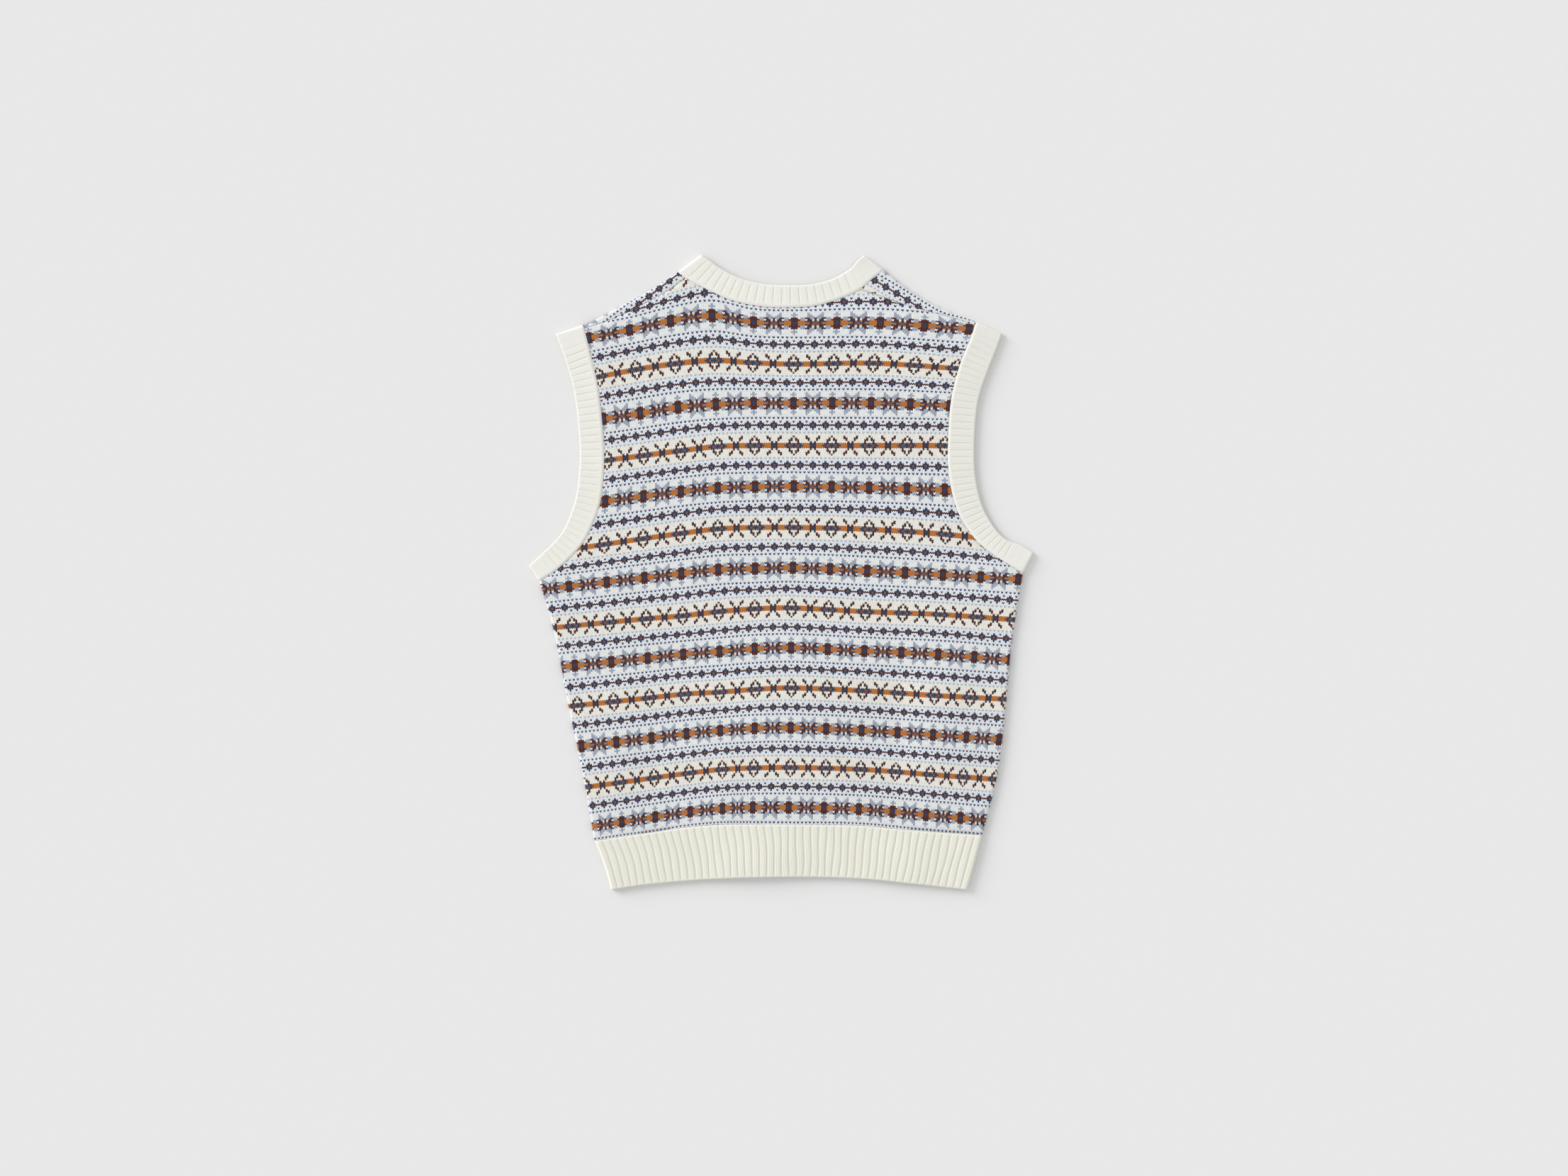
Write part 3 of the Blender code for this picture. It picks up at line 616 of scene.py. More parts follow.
def stitch_net():
    """Wales, courses, and the plan places of a net of points over the whole panel."""
    first, last = NET_REACH["wale"]
    wales = [first + i / WALE_POINTS for i in range((last - first) * WALE_POINTS + 1)]
    first, last = NET_REACH["course"]
    courses = list(range(first, last + 1, ROW_COURSES))
    places = numpy.zeros((len(wales), len(courses), 2))
    for j, course in enumerate(courses):
        knots = knots_at(course)
        for i, wale in enumerate(wales):
            places[i, j] = across_knots(knots, wale)[:2]
    return wales, courses, places


# ---- cutting a panel out of the net

def flat(chain):
    return numpy.array([(p.x, p.y) for p in chain])


def is_inside(points, outline):
    """True for each point that the closed outline holds."""
    inside = numpy.zeros(len(points), bool)
    x, y = points[:, 0], points[:, 1]
    for (ax, ay), (bx, by) in zip(outline, numpy.roll(outline, -1, axis=0)):
        if ay == by:
            continue
        crosses = (ay > y) != (by > y)
        inside ^= crosses & (x < ax + (y - ay) * (bx - ax) / (by - ay))
    return inside


def nearest_on(points, outline, closed=True):
    """Distance to an outline from each point, and the nearest place on it."""
    starts = outline if closed else outline[:-1]
    ends = numpy.roll(outline, -1, axis=0) if closed else outline[1:]
    best = numpy.full(len(points), numpy.inf)
    place = points.copy()
    for a, b in zip(starts, ends):
        along = b - a
        share = numpy.clip(((points - a) @ along) / max(along @ along, 1e-12), 0, 1)
        spot = a + share[:, None] * along
        distance = numpy.hypot(*(points - spot).T)
        closer = distance < best
        best[closer] = distance[closer]
        place[closer] = spot[closer]
    return best, place


def crossing(inner, outer, outline):
    """Where the link from an inner to an outer point meets the outline."""
    along = outer - inner
    starts, sides = outline, numpy.roll(outline, -1, axis=0) - outline
    across = along[0] * sides[:, 1] - along[1] * sides[:, 0]
    across[across == 0] = 1e-12
    gap = starts - inner
    share = (gap[:, 0] * sides[:, 1] - gap[:, 1] * sides[:, 0]) / across
    part = (gap[:, 0] * along[1] - gap[:, 1] * along[0]) / across
    hits = share[(part >= -1e-6) & (part <= 1 + 1e-6) & (share >= 0) & (share <= 1)]
    return inner + along * (hits.min() if len(hits) else 0.5)


def cut_panel(places, outline, corners):
    """Cells of the net that the outline keeps. Points close to it are moved onto it.
    Returns plan places by key, and faces as rings of keys. A key is a net point (i, j), or
    two of them where a link is cut."""
    snap = 0.3 * STITCH_WIDTH / WALE_POINTS
    columns, rows = places.shape[:2]
    points = places.reshape(-1, 2).copy()
    inside = is_inside(points, outline)
    distance, spot = nearest_on(points, outline)
    near = distance < snap
    points[near] = spot[near]
    for corner in corners:
        k = numpy.hypot(*(points - corner).T).argmin()
        points[k] = corner
        near[k] = True
    points = points.reshape(columns, rows, 2)
    inside, near = inside.reshape(columns, rows), near.reshape(columns, rows)
    kept, faces = {}, []

    def keep(key, place):
        kept[key] = Vector((place[0], place[1], 0))
        return key

    for i in range(columns - 1):
        for j in range(rows - 1):
            ring = [(i, j), (i + 1, j), (i + 1, j + 1), (i, j + 1)]
            strictly = [inside[c] and not near[c] for c in ring]
            if not any(strictly) and sum(near[c] for c in ring) < 3:
                continue
            face = []
            for k, c in enumerate(ring):
                n = ring[(k + 1) % 4]
                if near[c] or inside[c]:
                    face.append(keep(c, points[c]))
                if near[c] or near[n] or inside[c] == inside[n]:
                    continue
                held, lost = (c, n) if inside[c] else (n, c)
                key = (held, lost)
                if key not in kept:
                    keep(key, crossing(points[held], points[lost], outline))
                face.append(key)
            if len(face) < 3:
                continue
            if not any(strictly):
                middle = sum((kept[key] for key in face), Vector()) / len(face)
                if not is_inside(numpy.array([middle[:2]]), outline)[0]:
                    continue
            faces.append(face)
    used = {key for face in faces for key in face}
    return {key: kept[key] for key in used}, faces


def stitch_of(key, wales, courses):
    """Wale and course of a net point, or halfway along a cut link."""
    if isinstance(key[0], tuple):
        a, b = key
        return (wales[a[0]] + wales[b[0]]) / 2, (courses[a[1]] + courses[b[1]]) / 2
    return wales[key[0]], courses[key[1]]


# ---- meshes

def loose_rims(faces):
    """Directed edges of the faces that no other face shares."""
    rims = {}
    for face in faces:
        for a, b in zip(face, face[1:] + face[:1]):
            if (b, a) in rims:
                del rims[(b, a)]
            else:
                rims[(a, b)] = True
    return list(rims)


def new_piece(name, points, faces, stitches, atlas, groove=None):
    """A mesh object from points in millimetres. Stitches and atlas hold a pair for each
    corner of each face."""
    mesh = bpy.data.meshes.new(name)
    mesh.from_pydata([tuple(p * MM) for p in points], [], faces)
    for layer_name, pairs in (("Stitches", stitches), ("OFBake", atlas)):
        layer = mesh.uv_layers.new(name=layer_name)
        layer.data.foreach_set("uv", [value for pair in pairs for value in pair])
    if groove is not None:
        field = mesh.attributes.new("Groove", "FLOAT", "POINT")
        field.data.foreach_set("value", groove)
    mesh.update()
    piece = bpy.data.objects.new(name, mesh)
    bpy.context.scene.collection.objects.link(piece)
    for other in bpy.context.selected_objects:
        other.select_set(False)
    piece.select_set(True)
    bpy.context.view_layer.objects.active = piece
    bpy.ops.object.shade_smooth()
    return piece


def cloth_shell(name, outer, inner, faces, stitch, spread):
    """A closed sheet of cloth. Outer and inner give a point for each key, faces are rings of
    keys, stitch gives a corner's wale and course from its face and key, and spread gives a
    key's flattened place in millimetres."""
    keys = list(outer)
    index = {key: k for k, key in enumerate(keys)}
    points = [outer[key] for key in keys] + [inner[key] for key in keys]
    count = len(keys)
    rims = loose_rims(faces)
    outward = {}
    for a, b in rims:
        along = spread[b] - spread[a]
        normal = Vector((along.y, -along.x, 0)).normalized()
        outward.setdefault(a, Vector())
        outward.setdefault(b, Vector())
        outward[a] = outward[a] + normal
        outward[b] = outward[b] + normal
    low = Vector([min(p[k] for p in spread.values()) for k in (0, 1)] + [0])
    high = Vector([max(p[k] for p in spread.values()) for k in (0, 1)] + [0])
    margin = 2 * CLOTH_WALL
    scale = 1 / (max(high.x - low.x, high.y - low.y) + 2 * margin)
    inner_scale = min(1 - scale * (high.x - low.x + 3 * margin), 0.3) / ((high.x - low.x) * scale)

    def on_atlas(place):
        return ((place.x - low.x + margin) * scale, (place.y - low.y + margin) * scale)

    def on_small_atlas(place):
        x, y = on_atlas(place)
        side = scale * (high.x - low.x + 2 * margin)
        return side + (x - margin * scale) * inner_scale, y * inner_scale

    rings, stitches, atlas = [], [], []
    for face in faces:
        rings.append([index[key] for key in face])
        rings.append([index[key] + count for key in face[::-1]])
        pairs = [stitch(face, key) for key in face]
        stitches += pairs + pairs[::-1]
        atlas += [on_atlas(spread[key]) for key in face]
        atlas += [on_small_atlas(spread[key]) for key in face[::-1]]
    face_of = {}
    for face in faces:
        for a, b in zip(face, face[1:] + face[:1]):
            face_of[(a, b)] = face
    for a, b in rims:
        face = face_of[(a, b)]
        rings.append([index[a], index[a] + count, index[b] + count, index[b]])
        stitches += [stitch(face, a), stitch(face, a), stitch(face, b), stitch(face, b)]
        far_a = spread[a] + outward[a].normalized() * CLOTH_WALL
        far_b = spread[b] + outward[b].normalized() * CLOTH_WALL
        atlas += [on_atlas(p) for p in (spread[a], far_a, far_b, spread[b])]
    return new_piece(name, points, rings, stitches, atlas)


def lofted_strip(name, sections, closed, girths, stitches, groove, atlas_rows):
    """A closed skin over a row of sections, each a ring of points. Girths are places round
    a section for the baking atlas, from 0 to 1, and stitches gives the wale of each section
    and the course of each ring point."""
    around, count = len(sections[0]), len(sections)
    points = [p for section in sections for p in section]
    wales, courses = stitches
    rings, pairs, atlas = [], [], []
    steps = count if closed else count - 1
    reach = [0.0]
    for i in range(steps):
        a, b = sections[i][around // 2], sections[(i + 1) % count][around // 2]
        reach.append(reach[-1] + (b - a).length)
    row_length = reach[-1] / atlas_rows
    fit = 0.96
    for i in range(steps):
        row = min(int((reach[i] + reach[i + 1]) / 2 / row_length), atlas_rows - 1)
        spans = [(reach[i] / row_length - row), (reach[i + 1] / row_length - row)]
        for k in range(around):
            n = (k + 1) % around
            j = (i + 1) % count
            rings.append([i * around + k, j * around + k, j * around + n, i * around + n])
            pairs += [(wales[i], courses[k]), (wales[i + 1], courses[k]),
                      (wales[i + 1], courses[k + 1]), (wales[i], courses[k + 1])]
            for span, girth in ((spans[0], girths[k]), (spans[1], girths[k]),
                                (spans[1], girths[k + 1]), (spans[0], girths[k + 1])):
                atlas.append((0.02 + span * fit, (row + 0.02 + girth * fit) / atlas_rows))
    if not closed:
        for i, flip in ((0, False), (count - 1, True)):
            ring = [i * around + k for k in range(around)]
            rings.append(ring[::-1] if flip else ring)
            pairs += [(wales[i], courses[0])] * around
            atlas += [(0.01 + 0.005 * (k % 2), girths[k] / atlas_rows) for k in range(around)]
    piece = new_piece(name, points, rings, pairs, atlas, groove)
    body = bmesh.new()
    body.from_mesh(piece.data)
    bmesh.ops.recalc_face_normals(body, faces=body.faces)
    body.to_mesh(piece.data)
    body.free()
    return piece


def finish_piece(piece, material, node):
    """Gives the piece its material. It moves with the one body, and stands for its CAD node."""
    piece.data.materials.append(vest_material(material))
    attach(piece, "root")
    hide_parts(node)


# ---- panels

def joined(chains):
    """One closed outline from chains that meet, and its corners, where they meet."""
    outline, corners = [], []
    for k, chain in enumerate(chains):
        before = chains[k - 1]
        corner = (before[-1] + chain[0]) / 2
        corners.append(corner)
        outline += [corner] + chain[1:-1]
    return flat(outline), flat(corners)


def armhole_seams(steps):
    return {side: even_points(band_edges(side)[1], steps) for side in SIDES}


def fold_chain(side, steps):
    """Places and points of a shoulder's fold line, from the armhole seam to the neck seam."""
    places = [ARMHOLE_PLACE + (NECK_PLACE - ARMHOLE_PLACE) * i / steps for i in range(steps + 1)]
    return places, [fold_base(side, place) for place in places]


def panel_outline(armhole, middle):
    """A panel's closed outline. Middle holds its chains from the right armhole to the left."""
    hem = stepped(even_points(vectors(HEM_SEAM), EDGE_STEPS), SEAM_GAP)
    right, left = side_chain("right", EDGE_STEPS), side_chain("left", EDGE_STEPS)[::-1]
    return joined([hem, right, stepped([right[-1]] + armhole["right"], SEAM_GAP), *middle,
                   stepped(([left[0]] + armhole["left"])[::-1], SEAM_GAP), left])


def back_outline():
    armhole = armhole_seams(EDGE_STEPS)
    shoulder = {side: shoulder_chain(side, SHOULDER_STEPS) for side in SIDES}
    for side in SIDES:
        armhole[side][-1] = shoulder[side][0]
    neck = neck_chain(NECK_STEPS)[::-1]
    middle = (shoulder["right"], neck, shoulder["left"][::-1])
    return panel_outline(armhole, [stepped(chain, SEAM_GAP) for chain in middle])


def front_outline():
    fold = {side: fold_chain(side, NECK_STEPS)[1] for side in SIDES}
    neck = stepped(front_neck_edges(NECK_STEPS)[1][::-1], SEAM_GAP)
    return panel_outline(armhole_seams(EDGE_STEPS), [fold["right"], neck, fold["left"][::-1]])


def wale_dip(wale, knit):
    return knit.wale_depth / MM * (0.5 - 0.5 * math.cos(2 * math.pi * wale))


def panel_reach(kept, seams):
    """Outer reach of a panel's face from the seam height, by key: it rounds away at the side
    seams and dips a little at the linked ones."""
    keys = list(kept)
    points = flat([kept[key] for key in keys])
    sides = [nearest_on(points, flat(side_chain(side, EDGE_STEPS)), closed=False)[0]
             for side in SIDES]
    to_side = numpy.minimum(*sides)
    to_seam = numpy.full(len(keys), numpy.inf)
    for seam in seams:
        to_seam = numpy.minimum(to_seam, nearest_on(points, flat(seam), closed=False)[0])
    reach = {}
    for key, side, seam in zip(keys, to_side, to_seam):
        dip = SEAM_DIP * (1 - smooth_share(seam, 0, SEAM_DIP_REACH))
        reach[key] = max(rounding(side) - dip, LAYER_GAP / 2 + EDGE_WALL)
    return reach


def make_back_panel(knit):
    wales, courses, places = stitch_net()
    outline, corners = back_outline()
    kept, faces = cut_panel(places, outline, corners)
    seams = list(armhole_seams(SEAM_STEPS).values())
    seams += [neck_chain(SEAM_STEPS), even_points(vectors(HEM_SEAM), SEAM_STEPS)]
    seams += [shoulder_chain(side, SEAM_STEPS // 2) for side in SIDES]
    reach = panel_reach(kept, seams)
    outer, inner = {}, {}
    for key, point in kept.items():
        wale = stitch_of(key, wales, courses)[0]
        lift = SEAM_HEIGHT + relief(point)
        outer[key] = Vector((point.x, point.y, lift + reach[key] - wale_dip(wale, knit)))
        inner[key] = Vector((point.x, point.y, lift + LAYER_GAP / 2))

    def stitch(face, key):
        return stitch_of(key, wales, courses)

    return cloth_shell("knitted_back", outer, inner, faces, stitch, kept)


def strip_stitch(side, point):
    """Wale and course on the part of the front that lies over a shoulder."""
    dots = even_points(vectors(STRIP_DOTS[side]), SHOULDER_STEPS)
    chain = flat(dots)
    spot = nearest_on(numpy.array([point[:2]]), chain, closed=False)[1][0]
    k = int(numpy.hypot(*(chain - spot).T).argmin())
    a, b = dots[max(k - 1, 0)], dots[min(k + 1, len(dots) - 1)]
    along = (b - a).normalized()
    offset = point - dots[k]
    length = sum((q - p).length for p, q in zip(dots[:k], dots[1:k + 1])) + offset.dot(along)
    inward = Vector((along.y, -along.x, 0))
    if inward.y > 0:
        inward = -inward
    course = STRIP_DOT_COURSE + offset.dot(inward) / STITCH_HEIGHT
    return length / STITCH_WIDTH, course


def make_front_panel(knit):
    wales, courses, places = stitch_net()
    outline, corners = front_outline()
    kept, faces = cut_panel(places, outline, corners)
    seams = list(armhole_seams(SEAM_STEPS).values())
    seams += [front_neck_edges(SEAM_STEPS)[1], even_points(vectors(HEM_SEAM), SEAM_STEPS)]
    reach = panel_reach(kept, seams)
    folds = {side: fold_chain(side, NECK_STEPS) for side in SIDES}
    over = {}
    points = flat(kept.values())
    for side, (_, chain) in folds.items():
        for key, gap in zip(kept, nearest_on(points, flat(chain), closed=False)[0]):
            if gap < ON_FOLD:
                over[key] = side
    outer, inner = {}, {}
    for key, point in kept.items():
        dip = 0.0 if key in over else wale_dip(stitch_of(key, wales, courses)[0], knit)
        radius = FOLD_RADIUS if key in over else reach[key]
        outer[key] = Vector((point.x, point.y, SEAM_HEIGHT - radius + dip))
        inner[key] = Vector((point.x, point.y, SEAM_HEIGHT - LAYER_GAP / 2))
    spread = dict(kept)
    strip_places = {}
    faces = [face[::-1] for face in faces]
    rims = [(a, b) for a, b in loose_rims(faces) if over.get(a) and over.get(a) == over.get(b)]
    for a, b in rims:
        side = over[a]
        for key in (a, b):
            if ("roll", key, 1) not in outer:
                roll_over(key, kept[key], side, folds[side], outer, inner, spread, strip_places)
        faces += roll_faces(a, b)

    def stitch(face, key):
        side = next((strip_places[k][0] for k in face if k in strip_places), None)
        if side is None:
            return stitch_of(key, wales, courses)
        if key in strip_places:
            return strip_stitch_cached(side, strip_places[key][1])
        return strip_stitch_cached(side, fold_rest(kept[key], side, folds))

    return cloth_shell("knitted_front", outer, inner, faces, stitch, spread)


STRIP_STITCHES = {}


def strip_stitch_cached(side, place):
    key = (side, round(place.x, 3), round(place.y, 3))
    if key not in STRIP_STITCHES:
        STRIP_STITCHES[key] = strip_stitch(side, place)
    return STRIP_STITCHES[key]


def fold_frame(point, side, fold):
    """The outward direction at a point of the fold, and the shoulder seam's point there."""
    places, chain = fold
    spots = flat(chain)
    k = int(numpy.hypot(*(spots - numpy.array(point[:2])).T).argmin())
    near = [n for n in (k - 1, k) if 0 <= n < len(chain) - 1]
    best = None
    for n in near:
        link = chain[n + 1] - chain[n]
        share = min(max((point - chain[n]).dot(link) / link.length_squared, 0), 1)
        gap = (chain[n].lerp(chain[n + 1], share) - point).length
        if best is None or gap < best[0]:
            best = (gap, places[n] + (places[n + 1] - places[n]) * share)
    place = best[1]
    seam = shoulder_chain(side, SHOULDER_STEPS)
    share = (ARMHOLE_PLACE - place) / (ARMHOLE_PLACE - NECK_PLACE)
    outward = fold_outward(side, place)
    inset = SEAM_GAP if 0 < share < 1 else 0
    end = on_chain(seam, share)
    end = end + (Vector((point.x, point.y, 0)) - end).normalized() * inset
    return outward, end


def fold_rest(point, side, folds):
    """Where a point of the fold line would lie if the roll were flattened onto the back."""
    outward = fold_frame(point, side, folds[side])[0]
    return point + outward * (FOLD_RADIUS * math.pi)


def roll_over(key, point, side, fold, outer, inner, spread, strip_places):
    """Points of one column of the front, round the fold and on to the shoulder seam."""
    outward, end = fold_frame(point, side, fold)
    for step, angle in enumerate(ROLL_ANGLES):
        name = ("roll", key, step + 1)
        outer[name] = turned(point, outward, FOLD_RADIUS, angle)
        inner[name] = turned(point, outward, LAYER_GAP / 2, angle)
        turn = math.radians(angle + 90) * FOLD_RADIUS
        spread[name] = point + outward * turn
        rest = math.radians(90 - angle) * FOLD_RADIUS
        strip_places[name] = (side, point + outward * rest)
    length = (end - point).length
    for step in range(1, STRIP_ROWS + 1):
        name = ("roll", key, len(ROLL_ANGLES) + step)
        spot = point.lerp(end, step / STRIP_ROWS)
        dip = SEAM_DIP * (1 - smooth_share(length * (1 - step / STRIP_ROWS), 0, SEAM_DIP_REACH))
        outer[name] = Vector((spot.x, spot.y, SEAM_HEIGHT + FOLD_RADIUS - dip))
        inner[name] = Vector((spot.x, spot.y, SEAM_HEIGHT + LAYER_GAP / 2))
        spread[name] = point + outward * (math.pi * FOLD_RADIUS + length * step / STRIP_ROWS)
        strip_places[name] = (side, spot)


def roll_faces(a, b):
    """Faces of the roll between two neighbouring columns."""
    last = len(ROLL_ANGLES) + STRIP_ROWS
    first = [a] + [("roll", a, k) for k in range(1, last + 1)]
    second = [b] + [("roll", b, k) for k in range(1, last + 1)]
    return [[second[k], first[k], first[k + 1], second[k + 1]] for k in range(last)]


# ---- ribs

def rib_stations(ribs, section, plain_start, plain_end):
    """Share along a band, rib height, groove and wale there. The first and last few ribs are
    plain, where the cloth turns over."""
    stations = []
    for rib in range(ribs):
        for part, height, groove in section:
            place = rib + part
            strength = smooth_share(place, plain_start - 1, plain_start + 0.5)
            strength *= smooth_share(ribs - place, plain_end - 1, plain_end + 0.5)
            stations.append((place / ribs, 1 - (1 - height) * strength, groove * strength, place))
    stations.append((1.0, 1.0, 0.0, float(ribs)))
    return stations


def band_section_places(width):
    """Distances from a band's free edge at which its face has points, up to the seam."""
    first, last = 3.4, width - 6
    middle = [first + (last - first) * k / BAND_STEPS for k in range(BAND_STEPS + 1)]
    return ([0.0, 0.3, 1.0, 2.0] + middle
            + [width - 4.6, width - SEAM_FLAT, width - 1.8, width - 0.9, width - 0.3, width])


def wall_at(distance, width, crest, fall=0.0):
    """Outer and inner reach of a band's wall at a distance from its free edge, and how
    strong its ribs are there. The outer face falls towards the free edge."""
    middle = LAYER_GAP / 2 + CLOTH_WALL / 2
    round_off = math.sqrt(max(1 - (1 - min(distance / EDGE_RADIUS, 1)) ** 2, 0))
    ribbed = smooth_share(distance, 0.8, 4.0)
    ribbed *= smooth_share(width - distance, SEAM_FLAT, SEAM_FLAT + 2)
    dip = BAND_DIP * (1 - smooth_share(width - distance, 0, SEAM_DIP_REACH))
    dip += fall * (1 - distance / width)
    outer = middle + (CLOTH_WALL / 2 + crest) * round_off - dip
    inner = middle - CLOTH_WALL / 2 * round_off
    return outer, inner, ribbed


def band_section(free, seam, outward_free, outward_seam, angle, drop, crest, fall):
    """A ring of points round a band's section: over its face from the free edge to the seam,
    and back along its inside. The crest is what the ribs stand above the wall, and the drop
    is how far this place lies below them."""
    span = seam - free
    width = span.length
    ring, lift = [], []
    for distance in band_section_places(width):
        share = distance / width
        outward = outward_free.lerp(outward_seam, share)
        outer, _, ribbed = wall_at(distance, width, crest, fall)
        ring.append(turned(free + span * share, outward, outer - drop * ribbed, angle))
        lift.append(ribbed)
    for share in INNER_PLACES:
        outward = outward_free.lerp(outward_seam, share)
        inner = wall_at(share * width, width, 0.0)[1]
        ring.append(turned(free + span * share, outward, inner, angle))
        lift.append(0.0)
    return ring, lift


def band_courses(width):
    """Course and atlas place of each ring point of a band's section."""
    outside = band_section_places(width)
    distances = outside + [share * width for share in INNER_PLACES]
    courses = [d / RIB_COURSE for d in distances]
    inside = 0.25
    girths = [d / width * (1 - inside) for d in outside]
    girths += [1 - inside + inside * (1 - share) for share in INNER_PLACES]
    return courses + courses[:1], girths + [1.0]


def make_band(name, back, front, start, end, ribs, plain, depth, fall=0.0):
    """One flattened ring of rib. Back and front give (free, seam) at a share along the band,
    start and end give the outward directions (free, seam) at its two folds, and plain says
    how many ribs are missing next to them."""
    nowhere = Vector((0, 0, 0))
    sections, groove, wales = [], [], []

    def add(free, seam, outward, angle, height, hollow, crest, wale):
        drop = (1 - height) * depth
        ring, lift = band_section(free, seam, outward[0], outward[1], angle, drop, crest,
                                  fall * crest / RIB_RISE)
        sections.append(ring)
        groove.extend(hollow * ribbed for ribbed in lift)
        wales.append(wale)

    stations = rib_stations(ribs, BAND_SECTION, plain[0], plain[1])
    for share, height, hollow, wale in stations:
        free, seam = back(share)
        add(free, seam, (nowhere, nowhere), 90, height, hollow, RIB_RISE, wale)
    free, seam = back(1.0)
    for angle in FOLD_STEPS:
        crest = RIB_RISE * (angle + 90) / 180
        add(free, seam, end, angle, 1.0, 0.0, crest, ribs + (90 - angle) / 180)
    for share, height, hollow, wale in stations[::-1]:
        free, seam = front(share)
        add(free, seam, (nowhere, nowhere), -90, height, hollow, 0.0, 2 * ribs + 1 - wale)
    free, seam = back(0.0)
    for angle in FOLD_STEPS[::-1]:
        crest = RIB_RISE * (angle + 90) / 180
        add(free, seam, start, angle, 1.0, 0.0, crest, 2 * ribs + 1 + (90 + angle) / 180)
    wales.append(2.0 * ribs + 2)
    width = sum((back(k / 4)[1] - back(k / 4)[0]).length for k in range(5)) / 5
    courses, girths = band_courses(width)
    return lofted_strip(name, sections, True, girths, (wales, courses), groove, 3)


def crosswise(free_edge, seam_edge, steps):
    """A function that gives a band's (free, seam) points at a share along its seam."""
    seam_places = even_places(seam_edge, steps)

    def at_share(share):
        place = share * steps
        i = min(int(place), steps - 1)
        at = seam_places[i] + (seam_places[i + 1] - seam_places[i]) * (place - i)
        return smooth_at(free_edge, at), smooth_at(seam_edge, at)

    return at_share


def make_armhole_band(side, knit):
    layer = crosswise(*band_edges(side), NECK_STEPS)
    last = len(SHOULDER_FOLD[side]) - 1
    under = underarm_outward(side)
    shoulder = (fold_outward(side, last), fold_outward(side, ARMHOLE_PLACE))
    return make_band("armhole_rib_" + side, layer, layer, (under, under), shoulder,
                     ARMHOLE_RIBS[side], ARMHOLE_PLAIN, knit.band_groove / MM, BAND_FALL)


def make_neckband(knit):
    front_free, front_seam = front_neck_edges(EDGE_STEPS)

    def front(share):
        return on_chain(front_free, share), on_chain(front_seam, share)

    start, end = [(fold_outward(side, 0), fold_outward(side, NECK_PLACE)) for side in SIDES]
    return make_band("neck_rib", crosswise(*neck_edges(), EDGE_STEPS), front, start, end,
                     NECK_RIBS, NECK_PLAIN, knit.band_groove / MM)


# ---- hem

def hem_sway(share, distance):
    """How far a rib of the hem leans sideways, so that no two run quite alike."""
    return HEM_SWAY * math.sin(distance / 9 + 5 * math.sin(9 * share) + 2 * math.sin(31 * share))


def hem_ring(reach, drop, crest):
    """Distance from the hem's edge, reach from the seam height and rib strength of each
    point, over the face to the seam and back along the inside."""
    ring = []
    distances = [0.0, 0.25, 0.8, 1.6]
    distances += [3 + (HEM_DEPTH - 8) * k / HEM_STEPS for k in range(HEM_STEPS + 1)]
    distances += [HEM_DEPTH - inset for inset in (3.8, 2.8, 1.8, 0.9, 0.3, 0)]
    thick = reach - LAYER_GAP / 2
    for distance in distances:
        outer = wall_at(distance, HEM_DEPTH, crest)[0]
        ribbed = smooth_share(distance, 0.4, 3.0) * smooth_share(HEM_DEPTH - distance, 0.5, 3.0)
        face = LAYER_GAP / 2 + (outer - LAYER_GAP / 2) * thick / CLOTH_WALL
        ring.append((distance, face - drop * ribbed, ribbed))
    for share in INNER_PLACES:
        inner = wall_at(share * HEM_DEPTH, HEM_DEPTH, 0.0)[1]
        inner = LAYER_GAP / 2 + (inner - LAYER_GAP / 2) * thick / CLOTH_WALL
        ring.append((share * HEM_DEPTH, inner, 0.0))
    return ring


